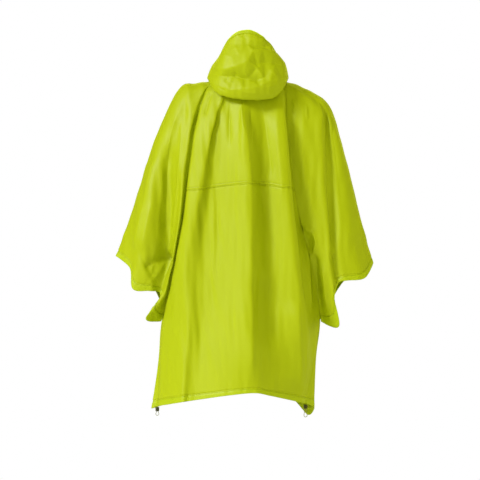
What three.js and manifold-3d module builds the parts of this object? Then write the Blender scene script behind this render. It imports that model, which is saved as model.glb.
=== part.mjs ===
// Rain poncho as worn, hood down. Sizes in mm, Z up, front towards +Y.
import * as THREE from "three";
import Module from "manifold-3d";

// Cloth and seams
const WALL = 1.6;
const DOUBLE_WALL = 2.4;
const CUFF_WALL = 2;
const CUFF_GAP = 1.7;
const HEM_GAP = 0.3;
const SEAM_GAP = 0.3;
const BRANCH_GAP = 2.2;
const HEM_DEPTH = 19;
const CUFF_HEM_DEPTH = 17;
const BRIM_DEPTH = 8;

// Widths and heights below are as seen square from behind, from this place.
const VIEW = { x: -22, z: -502, distance: 4500 };

// Heights of the body's sections: neck, collar, blade, chest, waist, hip, underarm, thigh, hem
const HEIGHTS = [-3, -44, -155, -285, -440, -601, -750, -880, -1005];
const UNDERARM = 6;
const HEM = 8;
const CROSS_SEAM = 3.42;
const HEM_TOP = HEM - HEM_DEPTH / (HEIGHTS[HEM - 1] - HEIGHTS[HEM]);

// Depth of the body's sections at its middle and at its side seams
const BODY = {
  back_middle: [-85, -112, -140, -152, -156, -165, -176, -184, -190],
  back_left: [-60, -74, -112, -124, -122, -92, -38, -26, -22],
  back_right: [-60, -74, -106, -116, -114, -84, -36, -26, -22],
  front_middle: [91, 104, 122, 132, 140, 150, 162, 174, 184],
  front_left: [58, 72, 92, 98, 90, 50, -38, -26, -22],
  front_right: [58, 72, 92, 98, 90, 50, -36, -26, -22],
};
const BODY_ROUND = { side: 2.6, middle: 0.7 };
const FRONT_NECK_DROP = [0, 52, 26, 8, 0, 0, 0, 0, 0];

// Neck ring
const NECK = { half_width: 108, half_depth: 88, middle_y: 3, front_drop: 55 };
const NECK_ANGLES = { back_seam: 50, ridge: 95, front_seam: 132 };

// Folds of the back: x at each height below the neck, and lift out of the cloth at four heights
const BACK_FOLDS = [
  { name: "seam_left", x: [-129, -160, -180, -200, -230, -260, -269, -278], lift: [-14, -20, 0, 0] },
  { name: "edge_left", x: [-122, -154, -175, -194, -223, -249, -258, -266], lift: [6, 8, 5, 3] },
  { name: "crest_left", x: [-80, -108, -136, -164, -189, -189, -201, -208], lift: [9, 13, 12, 11] },
  { name: "valley_left", x: [-56, -93, -104, -122, -133, -136, -152, -167], lift: [-9, -13, -13, -11] },
  { name: "flank", x: [-34, -46, -50, -56, -62, -62, -65, -62], lift: [0, 3, 3, 3] },
  { name: "crest_middle", x: [-12, -3, 3, 9, 11, 11, 15, 22], lift: [13, 18, 19, 11] },
  { name: "valley_middle", x: [28, 42, 52, 60, 68, 74, 74, 74], lift: [-14, -21, -23, -8] },
  { name: "crest_right", x: [92, 96, 104, 118, 138, 158, 172, 160], lift: [6, 9, 9, 6] },
  { name: "edge_right", x: [110, 115, 127, 142, 162, 182, 187, 166], lift: [6, 8, 8, 3] },
  { name: "tuck_right", x: [112, 115, 126, 148, 182, 204, 196, 174], lift: [-9, -18, -16, 0] },
  { name: "seam_right", x: [118, 125, 138, 164, 204, 225, 203, 181], lift: [-18, -28, 0, 0] },
];

// Folds of the front, plain, with the height of the hem at each but the side seams
const FRONT_FOLDS = [
  { name: "seam_right", x: [118, 140, 162, 186, 212, 225, 203, 181], lift: [-14, -18, 0, 0] },
  { name: "edge_right", x: [104, 124, 144, 168, 194, 218, 212, 207], lift: [4, 6, 14, 34], hem: -1020 },
  { name: "corner_right", x: [84, 100, 116, 134, 156, 188, 190, 188], lift: [4, 4, 8, 56], hem: -1043 },
  { name: "crest_right", x: [60, 72, 82, 92, 104, 122, 132, 138], lift: [6, 9, 11, 13], hem: -990 },
  { name: "valley_right", x: [32, 38, 42, 48, 54, 62, 68, 70], lift: [-5, -8, -10, -12], hem: -968 },
  { name: "crest_middle", x: [0, -2, -4, -6, -8, -10, -8, -6], lift: [5, 8, 10, 12], hem: -962 },
  { name: "valley_left", x: [-32, -42, -52, -62, -74, -84, -88, -90], lift: [-5, -8, -10, -12], hem: -968 },
  { name: "crest_left", x: [-66, -86, -102, -118, -140, -160, -168, -172], lift: [6, 9, 10, 12], hem: -986 },
  { name: "edge_left", x: [-106, -134, -158, -184, -220, -254, -266, -290], lift: [4, 6, 16, 32], hem: -1022 },
  { name: "seam_left", x: [-129, -152, -174, -200, -234, -262, -269, -278], lift: [-14, -18, 0, 0] },
];
const LIFT_HEIGHTS = [2, 4, 6, 8];

// How far the back's cross seam rises over each of its folds, in heights
const CROSS_SEAM_RISE = [0, 0, 0.01, 0.05, 0.095, 0.123, 0.11, 0.05, 0.045, 0.02, 0];

// Hem of the back: highest near the middle, lower at the sides
const BACK_HEM = {
  top_x: 17,
  top_z: -976,
  left_reach: 290,
  left_drop: 40,
  right_reach: 152,
  right_drop: 30,
  bow: 1.2,
};

// Overarm ridge, from the neck ring to the cuff's upper corner
const RIDGE = {
  left: {
    x: [-108, -158, -213, -285, -325, -365, -406],
    y: [0, 2, 2, 4, 8, 12, 14],
    z: [-7, -17, -37, -190, -315, -440, -552],
  },
  right: {
    x: [108, 162, 251, 285, 319, 349, 390],
    y: [0, 2, 2, 4, 8, 12, 14],
    z: [-7, -25, -81, -186, -315, -440, -572],
  },
};

// Folds of the sleeves: share of the way from the overarm ridge to the seam, and lift, at each section
const SLEEVE_FOLDS = {
  left: [
    { name: "strip", share: [0.8, 0.84, 0.84, 0.87, 0.93, 0.95, 0.88], lift: [0, 2, 6, 11, 13, 13, 10] },
    { name: "strip_side", share: [0.7, 0.72, 0.66, 0.72, 0.86, 0.91, 0.78], lift: [0, 1, 2, 0, -6, -6, 4] },
    { name: "valley", share: [0.6, 0.58, 0.48, 0.5, 0.7, 0.84, 0.66], lift: [0, 0, -3, -15, -25, -27, -20] },
    { name: "flank", share: [0.44, 0.4, 0.28, 0.28, 0.46, 0.58, 0.46], lift: [0, 0, 0, -1, -4, -5, -6] },
    { name: "middle", share: [0.3, 0.24, 0.16, 0.14, 0.24, 0.34, 0.3], lift: [0, 0, 1, 7, 11, 11, 4] },
    { name: "outer", share: [0.14, 0.1, 0.06, 0.06, 0.11, 0.14, 0.13], lift: [0, 0, 2, 4, 5, 6, 6] },
  ],
  right: [
    { name: "rise", share: [0.8, 0.8, 0.7, 0.76, 0.8, 0.86, 0.88], lift: [0, 0, 2, 3, 4, 4, 4] },
    { name: "slope", share: [0.62, 0.58, 0.46, 0.52, 0.6, 0.74, 0.78], lift: [0, 1, 4, 6, 7, 7, 6] },
    { name: "crest", share: [0.44, 0.38, 0.26, 0.34, 0.46, 0.64, 0.68], lift: [0, 2, 7, 9, 10, 10, 8] },
    { name: "pinch", share: [0.28, 0.24, 0.16, 0.22, 0.35, 0.54, 0.55], lift: [0, -1, -5, -8, -9, -9, -9] },
    { name: "middle", share: [0.17, 0.14, 0.1, 0.14, 0.24, 0.38, 0.4], lift: [0, 0, -1, -1, -1, -1, -1] },
    { name: "outer", share: [0.08, 0.07, 0.05, 0.07, 0.11, 0.18, 0.2], lift: [0, 0, 2, 4, 5, 6, 6] },
  ],
};
const SLEEVE_FRONT = [
  { name: "front_outer", share: [0.12, 0.1, 0.08, 0.1, 0.14, 0.16, 0.16], lift: [0, 0, 2, 3, 4, 5, 6] },
  { name: "front_middle", share: [0.42, 0.4, 0.36, 0.4, 0.44, 0.46, 0.46], lift: [0, 0, -3, -6, -8, -8, -8] },
  { name: "front_rise", share: [0.74, 0.72, 0.7, 0.72, 0.76, 0.78, 0.76], lift: [0, 1, 4, 6, 8, 8, 6] },
];
const SLEEVE_ROUND = 2.2;
const SLEEVE_BULGE = [0, 0, 0, 0, 4, 22, 50];

// Cuff edges: share of the way round from the upper corner to the underarm, x and z
const CUFF = {
  left_back: [
    [0, -406, -552],
    [0.1, -371, -580],
    [0.2, -341, -612],
    [0.3, -353, -654],
    [0.4, -319, -666],
    [0.5, -290, -656],
    [0.6, -274, -648],
    [0.7, -269, -676],
    [0.8, -269, -704],
    [0.9, -267, -728],
    [1, -262, -750],
  ],
  left_front: [
    [0, -406, -552],
    [0.2, -358, -588],
    [0.4, -312, -624],
    [0.6, -278, -656],
    [0.8, -266, -704],
    [1, -262, -750],
  ],
  right_back: [
    [0, 391, -572],
    [0.08, 381, -590],
    [0.16, 373, -614],
    [0.26, 351, -629],
    [0.4, 309, -628],
    [0.52, 288, -628],
    [0.6, 276, -646],
    [0.7, 268, -684],
    [0.8, 258, -712],
    [0.9, 244, -736],
    [1, 225, -750],
  ],
  right_front: [
    [0, 391, -572],
    [0.2, 358, -596],
    [0.4, 314, -616],
    [0.6, 280, -646],
    [0.8, 254, -702],
    [1, 225, -750],
  ],
};

// Lowest corner of each cuff, which swings out near the edge: place round the cuff and reach
const FLAP = {
  left: { share: 0.87, width: 0.17, x: -46, z: -26 },
  right: { share: 0.85, width: 0.19, x: 32, z: -46 },
};
const FLAP_FROM = 5.55;

// Hood worn down: angle from the middle of the back, then places of its throat, rim, side and brim
const HOOD_RINGS = [
  [-180, [0, 96, -48], [0, 104, -36], [0, 104, -14], [0, 90, 12]],
  [-140, [-74, 72, -24], [-84, 76, -14], [-84, 72, 6], [-68, 60, 30]],
  [-105, [-108, 28, 2], [-119, 14, 2], [-106, 8, 36], [-82, 4, 58]],
  [-70, [-106, -34, 6], [-119, -80, -8], [-99, -72, 42], [-76, -60, 86]],
  [-35, [-68, -80, 12], [-88, -132, -50], [-76, -138, 34], [-46, -106, 132]],
  [0, [2, -96, 12], [2, -150, -66], [4, -160, 28], [4, -116, 148]],
  [35, [68, -80, 12], [84, -132, -60], [84, -138, 28], [54, -106, 123]],
  [70, [112, -34, 8], [122, -84, -12], [116, -76, 42], [86, -62, 84]],
  [105, [114, 28, 4], [124, 14, 3], [113, 8, 34], [88, 4, 54]],
  [140, [76, 72, -24], [86, 76, -14], [86, 72, 6], [70, 60, 28]],
];
const HOOD_PARTS = 4;
const BRIM_SPAN = 90;
const HOOD_LIFT = 2.6;

// Hem corner toggles on short elastic loops, under the side seams
const TOGGLE = { radius: 6.5, foot: 5.6, height: 12, below_hem: 3, sides: 28 };
const SLOT = { width: 7, depth: 3.4 };
const LOOP = { radius: 0.9, strand: 2.2, bend: 4.8, bend_steps: 6, steps: 60, sides: 10 };
const LOOP_DROP = { left: 13, right: 26 };

// How finely the cloth is cut into facets
const ROWS_PER_HEIGHT = 3;
const COLUMNS_PER_FOLD = 3;
const SLEEVE_COLUMNS_PER_FOLD = 2;
const HOOD_ROWS = 14;
const ROW_APART = 0.05;

// Heights over which a gap widens above the underarm and closes again below it
const BRANCH = { from: 0.8, full: 0.3, closed: 0.4 };
const SEAM_TURN = 0.5;
const FLAP_LIMIT = 1.1;

const DEG = Math.PI / 180;
const LOOKS = {
  lime: { color: 0xb4c81e, roughness: 0.6, side: THREE.DoubleSide },
  dark: { color: 0x2b2c2a, roughness: 0.5 },
};

// Cubic through evenly spaced values, at place t
function cubic(a, b, c, d, t) {
  const t2 = t * t;
  const t3 = t2 * t;
  return 0.5 * (2 * b + (c - a) * t + (2 * a - 5 * b + 4 * c - d) * t2 + (3 * b - a - 3 * c + d) * t3);
}

function cubicPoint(p, t) {
  const [a, b, c, d] = p;
  return new THREE.Vector3(
    cubic(a.x, b.x, c.x, d.x, t),
    cubic(a.y, b.y, c.y, d.y, t),
    cubic(a.z, b.z, c.z, d.z, t),
  );
}

// Value of a row of numbers at place v, smooth, straight on past both ends
function along(row, v) {
  const last = row.length - 1;
  const i = Math.min(Math.max(Math.floor(v), 0), last - 1);
  const before = i > 0 ? row[i - 1] : 2 * row[0] - row[1];
  const after = i + 2 <= last ? row[i + 2] : 2 * row[last] - row[last - 1];
  return cubic(before, row[i], row[i + 1], after, v - i);
}

function pointAlong(points, v) {
  return new THREE.Vector3(
    along(points.map((p) => p.x), v),
    along(points.map((p) => p.y), v),
    along(points.map((p) => p.z), v),
  );
}

// Number at share s of a table whose first column is the share
function fromTable(table, s, column) {
  let i = 0;
  while (i < table.length - 2 && table[i + 1][0] < s) i += 1;
  const part = (s - table[i][0]) / (table[i + 1][0] - table[i][0]);
  return THREE.MathUtils.lerp(table[i][column], table[i + 1][column], part);
}

// Moves a point, given as seen from behind, to its true place at its own depth
function asBuilt(p) {
  const nearer = 1 + p.y / VIEW.distance;
  return new THREE.Vector3(VIEW.x + (p.x - VIEW.x) * nearer, p.y, VIEW.z + (p.z - VIEW.z) * nearer);
}

function neckPoint(angle) {
  const a = angle * DEG;
  const fall = NECK.front_drop * ((1 - Math.cos(a)) / 2) ** 3;
  return new THREE.Vector3(
    NECK.half_width * Math.sin(a),
    NECK.middle_y - NECK.half_depth * Math.cos(a),
    HEIGHTS[0] - fall,
  );
}

function liftAt(lift, level) {
  if (level < LIFT_HEIGHTS[0]) return (lift[0] * level) / LIFT_HEIGHTS[0] / 2;
  const last = LIFT_HEIGHTS.length - 1;
  let i = 0;
  while (i < last - 1 && LIFT_HEIGHTS[i + 1] < level) i += 1;
  const part = (level - LIFT_HEIGHTS[i]) / (LIFT_HEIGHTS[i + 1] - LIFT_HEIGHTS[i]);
  return THREE.MathUtils.lerp(lift[i], lift[i + 1], part);
}

function backHemHeight(x) {
  const { top_x, top_z, left_reach, left_drop, right_reach, right_drop, bow } = BACK_HEM;
  if (x < top_x) return top_z - left_drop * ((top_x - x) / left_reach) ** bow;
  return top_z - right_drop * ((x - top_x) / right_reach) ** bow;
}

// One fold line of the body, as points at each height
function bodyLine(fold, side, angle) {
  const back = side === "back";
  const folds = back ? BACK_FOLDS : FRONT_FOLDS;
  const ends = [folds[0], folds[folds.length - 1]].sort((p, q) => p.x[0] - q.x[0]);
  const out = back ? -1 : 1;
  return HEIGHTS.map((height, level) => {
    if (level === 0) return neckPoint(angle);
    const x = fold.x[level - 1];
    const left = ends[0].x[level - 1];
    const right = ends[1].x[level - 1];
    const across = THREE.MathUtils.clamp((2 * (x - left)) / (right - left) - 1, -1, 1);
    const depths = ["_left", "_right", "_middle"].map((place) => BODY[side + place][level]);
    const edge = THREE.MathUtils.lerp(depths[0], depths[1], (across + 1) / 2);
    const swell = (1 - Math.abs(across) ** BODY_ROUND.side) ** BODY_ROUND.middle;
    const y = THREE.MathUtils.lerp(edge, depths[2], swell) + out * liftAt(fold.lift, level);
    let z = height;
    if (!back) z -= FRONT_NECK_DROP[level] * swell;
    if (level === HEM) z = fold.hem ?? backHemHeight(x);
    return new THREE.Vector3(x, y, z);
  });
}

// One fold line of a sleeve, between its overarm ridge and its seam
function sleeveLine(fold, side, half, seam, angle) {
  const ridge = RIDGE[side];
  const out = half === "back" ? -1 : 1;
  const cuff = CUFF[side + "_" + half];
  return ridge.x.map((ridgeX, level) => {
    if (level === 0) return neckPoint(angle);
    const share = fold.share[level];
    const end = seam[level];
    const round = (1 - (1 - share) ** SLEEVE_ROUND) ** (1 / SLEEVE_ROUND);
    const bulge = SLEEVE_BULGE[level] * Math.sin(Math.PI * share);
    const y = THREE.MathUtils.lerp(ridge.y[level], end.y, round) + out * (bulge + fold.lift[level]);
    if (level === UNDERARM) return new THREE.Vector3(fromTable(cuff, share, 1), y, fromTable(cuff, share, 2));
    return new THREE.Vector3(
      THREE.MathUtils.lerp(ridgeX, end.x, share),
      y,
      THREE.MathUtils.lerp(ridge.z[level], end.z, share),
    );
  });
}

function ridgeLine(side, angle) {
  const { x, y, z } = RIDGE[side];
  return x.map((across, level) => {
    if (level === 0) return neckPoint(angle);
    return new THREE.Vector3(across, y[level], z[level]);
  });
}

// Evenly spaced angles from one to the other, for the lines strictly between them
function anglesBetween(from, to, count) {
  return Array.from({ length: count }, (_, i) => from + ((to - from) * (i + 1)) / (count + 1));
}

// All fold lines in order round the garment, from the left seam of the back
function foldLines() {
  const { back_seam, ridge, front_seam } = NECK_ANGLES;
  const lines = [];
  const add = (name, points) => lines.push({ name, points });
  const backAngles = [-back_seam, ...anglesBetween(-back_seam, back_seam, BACK_FOLDS.length - 2), back_seam];
  BACK_FOLDS.forEach((fold, i) => add(fold.name, bodyLine(fold, "back", backAngles[i])));
  const backLeft = lines[0].points;
  const backRight = lines[lines.length - 1].points;
  const turn = 360 - front_seam;
  const frontAngles = [front_seam, ...anglesBetween(front_seam, turn, FRONT_FOLDS.length - 2), turn];
  const front = FRONT_FOLDS.map((fold, i) => bodyLine(fold, "front", frontAngles[i]));
  const frontRight = front[0];
  const frontLeft = front[front.length - 1];

  const rightBack = anglesBetween(back_seam, ridge, SLEEVE_FOLDS.right.length);
  SLEEVE_FOLDS.right.forEach((fold, i) =>
    add("right_" + fold.name, sleeveLine(fold, "right", "back", backRight, rightBack[i])),
  );
  add("right_ridge", ridgeLine("right", ridge));
  const rightFront = anglesBetween(ridge, front_seam, SLEEVE_FRONT.length);
  SLEEVE_FRONT.forEach((fold, i) =>
    add("right_" + fold.name, sleeveLine(fold, "right", "front", frontRight, rightFront[i])),
  );
  FRONT_FOLDS.forEach((fold, i) => add("front_" + fold.name, front[i]));
  const leftFront = anglesBetween(360 - front_seam, 360 - ridge, SLEEVE_FRONT.length);
  [...SLEEVE_FRONT].reverse().forEach((fold, i) =>
    add("left_" + fold.name, sleeveLine(fold, "left", "front", frontLeft, leftFront[i])),
  );
  add("left_ridge", ridgeLine("left", 360 - ridge));
  const leftBack = anglesBetween(360 - ridge, 360 - back_seam, SLEEVE_FOLDS.left.length);
  [...SLEEVE_FOLDS.left].reverse().forEach((fold, i) =>
    add("left_" + fold.name, sleeveLine(fold, "left", "back", backLeft, leftBack[i])),
  );
  return lines;
}

const LINES = foldLines();
const COUNT = LINES.length;
const INDEX = Object.fromEntries(LINES.map((line, i) => [line.name, i]));
const SIDE_SEAMS = [
  { back: INDEX.seam_left, sleeve: COUNT - 1, front: INDEX.front_edge_left },
  { back: INDEX.seam_right, sleeve: INDEX.right_rise, front: INDEX.front_edge_right },
  { back: INDEX.front_seam_left, sleeve: INDEX.left_front_rise, front: INDEX.edge_left },
  { back: INDEX.front_seam_right, sleeve: INDEX.right_front_rise, front: INDEX.tuck_right },
];

// Below the underarm the front's side seams are the back's
function lineAt(index, v) {
  let i = (index + COUNT) % COUNT;
  if (v >= UNDERARM && i === INDEX.front_seam_left) i = INDEX.seam_left;
  if (v >= UNDERARM && i === INDEX.front_seam_right) i = INDEX.seam_right;
  return pointAlong(LINES[i].points, v);
}

// The next line beyond a seam of the body: the sleeve above the underarm, the other panel below it
function beyondSeam(index, v) {
  const seam = SIDE_SEAMS.find((s) => s.back === index);
  const turn = THREE.MathUtils.smoothstep(v, UNDERARM - SEAM_TURN, UNDERARM);
  if (turn === 1) return lineAt(seam.front, v);
  return lineAt(seam.sleeve, v).lerp(lineAt(seam.front, v), turn);
}

// Middle of the cloth: s counts fold lines round the garment, v counts heights down it
function bodyCloth(s, v, first, last) {
  const i = Math.min(Math.max(Math.floor(s), first), last - 1);
  const before = i === first ? beyondSeam(first, v) : lineAt(i - 1, v);
  const after = i + 1 === last ? beyondSeam(last, v) : lineAt(i + 2, v);
  return asBuilt(cubicPoint([before, lineAt(i, v), lineAt(i + 1, v), after], s - i));
}

// Height to look at on the back so that its cross seam, level in rows, rises over the middle folds
function backHeight(s, v) {
  const rise = along(CROSS_SEAM_RISE, s - INDEX.seam_left);
  const above = v / CROSS_SEAM;
  const below = Math.max((HEM_TOP - v) / (HEM_TOP - CROSS_SEAM), 0);
  return v - rise * Math.min(above, below);
}

// How far the cuff's lowest corner swings out at this place of the back half
function flapReach(side, s, v) {
  const seam = side === "left" ? COUNT : INDEX.seam_right;
  const ridge = INDEX[side + "_ridge"];
  const folds = SLEEVE_FOLDS[side];
  const steps = [1, ...folds.map((fold) => fold.share[UNDERARM]), 0];
  const place = Math.abs(s - seam);
  if (place >= Math.abs(ridge - seam)) return 0;
  const i = Math.floor(place);
  const share = THREE.MathUtils.lerp(steps[i], steps[i + 1], place - i);
  const { share: middle, width } = FLAP[side];
  const away = Math.min(Math.abs(share - middle) / width, 1);
  const ramp = THREE.MathUtils.clamp((v - FLAP_FROM) / (UNDERARM - FLAP_FROM), 0, FLAP_LIMIT);
  return (0.5 + 0.5 * Math.cos(Math.PI * away)) * ramp ** 2;
}

function sleeveCloth(side, s, v) {
  const i = Math.floor(s);
  const p = cubicPoint([lineAt(i - 1, v), lineAt(i, v), lineAt(i + 1, v), lineAt(i + 2, v)], s - i);
  const reach = flapReach(side, s, v);
  p.x += FLAP[side].x * reach;
  p.z += FLAP[side].z * reach;
  return asBuilt(p);
}

function hoodProfile([angle, ...parts]) {
  const seam = neckPoint(angle);
  seam.z += HOOD_LIFT;
  return [seam, ...parts.map((place) => new THREE.Vector3(...place))];
}

const HOOD_PROFILES = HOOD_RINGS.map(hoodProfile);

// Hood cloth: s counts rings round the neck, v runs from the neck seam to the brim
function hoodCloth(s, v) {
  const n = HOOD_PROFILES.length;
  const i = Math.floor(s);
  const four = [-1, 0, 1, 2].map((k) => pointAlong(HOOD_PROFILES[(i + k + 2 * n) % n], v));
  return asBuilt(cubicPoint(four, s - i));
}

const STEP = 1e-3;

function slope(cloth, s, v, ds, dv) {
  return cloth(s + ds, v + dv).sub(cloth(s - ds, v - dv)).divideScalar(2 * STEP);
}

function clothNormal(cloth, s, v) {
  return slope(cloth, s, v, STEP, 0).cross(slope(cloth, s, v, 0, STEP)).normalize();
}

// Steps in s and in v that move an edge inwards by 1 mm, square to the edge
function insetSteps(cloth, s, v) {
  const across = slope(cloth, s, v, STEP, 0);
  const down = slope(cloth, s, v, 0, STEP);
  const area = across.clone().cross(down).length();
  return { s: down.length() / area, v: across.length() / area };
}

// Evenly spaced stations between two ends
function stations(from, to, steps) {
  return Array.from({ length: steps + 1 }, (_, i) => from + ((to - from) * i) / steps);
}

// Rows shared by all pieces that meet at a seam, from one height to another
function sharedRows(from, to) {
  const all = [...stations(0, HEM, HEM * ROWS_PER_HEIGHT), CROSS_SEAM].sort((a, b) => a - b);
  return [from, ...all.filter((v) => v > from + ROW_APART && v < to - ROW_APART), to];
}

function geometryFrom(positions, index) {
  const geometry = new THREE.BufferGeometry();
  geometry.setAttribute("position", new THREE.Float32BufferAttribute(positions, 3));
  geometry.setIndex(index);
  geometry.computeVertexNormals();
  return geometry;
}

// Solid sheet over part of a cloth surface; gaps are lengths left free at its four edges
function sheet({ cloth, columns, rows, wall, closed = false, gaps = {} }) {
  const half = SEAM_GAP / 2;
  const { start = () => half, end = () => half, top = half, bottom = half } = gaps;
  const rowCount = rows.length;
  const columnCount = closed ? columns.length - 1 : columns.length;
  const outer = [];
  const inner = [];
  for (let j = 0; j < rowCount; j += 1) {
    for (let i = 0; i < columnCount; i += 1) {
      let s = columns[i];
      let v = rows[j];
      const inset = insetSteps(cloth, s, v);
      if (!closed && i === 0) s += start(v) * inset.s;
      if (!closed && i === columnCount - 1) s -= end(v) * inset.s;
      if (j === 0) v += top * inset.v;
      if (j === rowCount - 1) v -= bottom * inset.v;
      const p = cloth(s, v);
      const n = clothNormal(cloth, s, v).multiplyScalar(wall / 2);
      outer.push(p.clone().add(n));
      inner.push(p.clone().sub(n));
    }
  }
  const points = [...outer, ...inner];
  const total = outer.length;
  const at = (i, j) => j * columnCount + (i % columnCount);
  const faces = [];
  const quad = (a, b, c, d) => faces.push(a, b, c, a, c, d);
  const spans = closed ? columnCount : columnCount - 1;
  for (let j = 0; j < rowCount - 1; j += 1) {
    for (let i = 0; i < spans; i += 1) {
      const [a, b, c, d] = [at(i, j), at(i + 1, j), at(i + 1, j + 1), at(i, j + 1)];
      quad(a, b, c, d);
      quad(total + d, total + c, total + b, total + a);
    }
  }
  for (let i = 0; i < spans; i += 1) {
    quad(at(i + 1, 0), at(i, 0), total + at(i, 0), total + at(i + 1, 0));
    const j = rowCount - 1;
    quad(at(i, j), at(i + 1, j), total + at(i + 1, j), total + at(i, j));
  }
  if (!closed) {
    for (let j = 0; j < rowCount - 1; j += 1) {
      quad(at(0, j), at(0, j + 1), total + at(0, j + 1), total + at(0, j));
      const i = columnCount - 1;
      quad(at(i, j + 1), at(i, j), total + at(i, j), total + at(i, j + 1));
    }
  }
  return geometryFrom(points.flatMap((p) => p.toArray()), faces);
}

const MATERIALS = {
  lime: new THREE.MeshStandardMaterial(LOOKS.lime),
  dark: new THREE.MeshStandardMaterial(LOOKS.dark),
};

const wasm = await Module();
wasm.setup();

const poncho = new THREE.Group();
poncho.name = "rain_poncho";

function addPiece(name, geometry, material = MATERIALS.lime) {
  const mesh = new THREE.Mesh(geometry, material);
  mesh.name = name;
  poncho.add(mesh);
}

// Wider gap where sleeve, front and back meet at the underarm
function branchGap(v) {
  const near = THREE.MathUtils.smoothstep(v, UNDERARM - BRANCH.from, UNDERARM - BRANCH.full);
  const below = 1 - THREE.MathUtils.smoothstep(v, UNDERARM, UNDERARM + BRANCH.closed);
  return SEAM_GAP / 2 + BRANCH_GAP * near * below;
}

const bodyGaps = { start: branchGap, end: branchGap };
const hemGaps = { ...bodyGaps, top: HEM_GAP };
const cuffGaps = { ...bodyGaps, top: CUFF_GAP };

function addBack() {
  const first = INDEX.seam_left;
  const last = INDEX.seam_right;
  const cloth = (s, v) => bodyCloth(s, backHeight(s, v), first, last);
  const columns = stations(first, last, COLUMNS_PER_FOLD * (last - first));
  const cut = { cloth, columns, wall: WALL, gaps: bodyGaps };
  addPiece("back_upper", sheet({ ...cut, rows: sharedRows(0, CROSS_SEAM) }));
  addPiece("back_lower", sheet({ ...cut, rows: sharedRows(CROSS_SEAM, HEM_TOP) }));
  addPiece("back_hem", sheet({ ...cut, rows: [HEM_TOP, HEM], wall: DOUBLE_WALL, gaps: hemGaps }));
}

function addFront() {
  const first = INDEX.front_seam_right;
  const last = INDEX.front_seam_left;
  const cloth = (s, v) => bodyCloth(s, v, first, last);
  const columns = stations(first, last, COLUMNS_PER_FOLD * (last - first));
  const cut = { cloth, columns, wall: WALL, gaps: bodyGaps };
  addPiece("front_panel", sheet({ ...cut, rows: sharedRows(0, HEM_TOP) }));
  addPiece("front_hem", sheet({ ...cut, rows: [HEM_TOP, HEM], wall: DOUBLE_WALL, gaps: hemGaps }));
}

function addSleeve(side, first, last) {
  const { x, z } = RIDGE[side];
  const lastStep = Math.hypot(x[UNDERARM] - x[UNDERARM - 1], z[UNDERARM] - z[UNDERARM - 1]);
  const hemTop = UNDERARM - CUFF_HEM_DEPTH / lastStep;
  const columns = stations(first, last, SLEEVE_COLUMNS_PER_FOLD * (last - first));
  const cut = { cloth: (s, v) => sleeveCloth(side, s, v), columns, gaps: bodyGaps };
  const rows = sharedRows(0, hemTop);
  rows.splice(-1, 0, (rows[rows.length - 2] + hemTop) / 2);
  addPiece("sleeve_" + side, sheet({ ...cut, rows, wall: WALL }));
  addPiece("cuff_hem_" + side, sheet({ ...cut, rows: [hemTop, UNDERARM], wall: CUFF_WALL, gaps: cuffGaps }));
}

function addHood() {
  const columns = stations(0, HOOD_RINGS.length, COLUMNS_PER_FOLD * HOOD_RINGS.length);
  const brimFrom = HOOD_PARTS - BRIM_DEPTH / BRIM_SPAN;
  const cut = { cloth: hoodCloth, columns, closed: true };
  addPiece("hood", sheet({ ...cut, rows: stations(0, brimFrom, HOOD_ROWS), wall: WALL }));
  addPiece("hood_brim", sheet({ ...cut, rows: [brimFrom, HOOD_PARTS], wall: DOUBLE_WALL }));
}

// Barrel with a slot down its middle for both strands of the loop
function toggleGeometry(place) {
  const { radius, foot, height, sides } = TOGGLE;
  const barrel = wasm.Manifold.cylinder(height, foot, radius, sides, true);
  const slot = wasm.Manifold.cube([SLOT.width, SLOT.depth, 2 * height], true);
  const { vertProperties, triVerts } = barrel.subtract(slot).translate(place.toArray()).getMesh();
  return geometryFrom(vertProperties, [...triVerts]);
}

// Both strands down through the toggle, then apart and round a half circle below it
function loopGeometry(top, bottomOfToggle, drop) {
  const { radius, strand, bend, bend_steps, steps, sides } = LOOP;
  const at = (x, z) => new THREE.Vector3(top.x + x, top.y, z);
  const turn = stations(Math.PI, 2 * Math.PI, bend_steps);
  const centre = bottomOfToggle - drop + bend;
  const points = [
    at(-strand, top.z),
    at(-strand, bottomOfToggle),
    ...turn.map((angle) => at(bend * Math.cos(angle), centre + bend * Math.sin(angle))),
    at(strand, bottomOfToggle),
    at(strand, top.z),
  ];
  const path = new THREE.CatmullRomCurve3(points, false, "centripetal");
  const tube = new THREE.TubeGeometry(path, steps, radius, sides, false);
  return capped(tube, points[0], points[points.length - 1]);
}

// Closes both ends of an open tube
function capped(tube, start, end) {
  const position = [...tube.attributes.position.array];
  const index = [...tube.index.array];
  const startCentre = position.length / 3;
  position.push(...start.toArray(), ...end.toArray());
  const lastRing = LOOP.steps * (LOOP.sides + 1);
  for (let i = 0; i < LOOP.sides; i += 1) {
    index.push(startCentre, i, i + 1);
    index.push(startCentre + 1, lastRing + i + 1, lastRing + i);
  }
  return geometryFrom(position, index);
}

function addToggle(side, seam, first, last) {
  const corner = bodyCloth(seam, HEM, first, last);
  const top = corner.clone();
  top.z -= SEAM_GAP + DOUBLE_WALL / 2;
  const place = corner.clone();
  place.z -= TOGGLE.below_hem + TOGGLE.height / 2;
  addPiece("hem_toggle_" + side, toggleGeometry(place), MATERIALS.dark);
  const loop = loopGeometry(top, place.z - TOGGLE.height / 2, LOOP_DROP[side]);
  addPiece("hem_loop_" + side, loop, MATERIALS.dark);
}

addBack();
addFront();
addSleeve("right", INDEX.seam_right, INDEX.front_seam_right);
addSleeve("left", INDEX.front_seam_left, COUNT);
addHood();
addToggle("left", INDEX.seam_left, INDEX.seam_left, INDEX.seam_right);
addToggle("right", INDEX.seam_right, INDEX.seam_left, INDEX.seam_right);

export default poncho;
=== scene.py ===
"""Looks of the rain poncho, worn with its hood down.

Sizes are in mm until a mesh is made, with Z up and the front towards +Y.
"""

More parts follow.
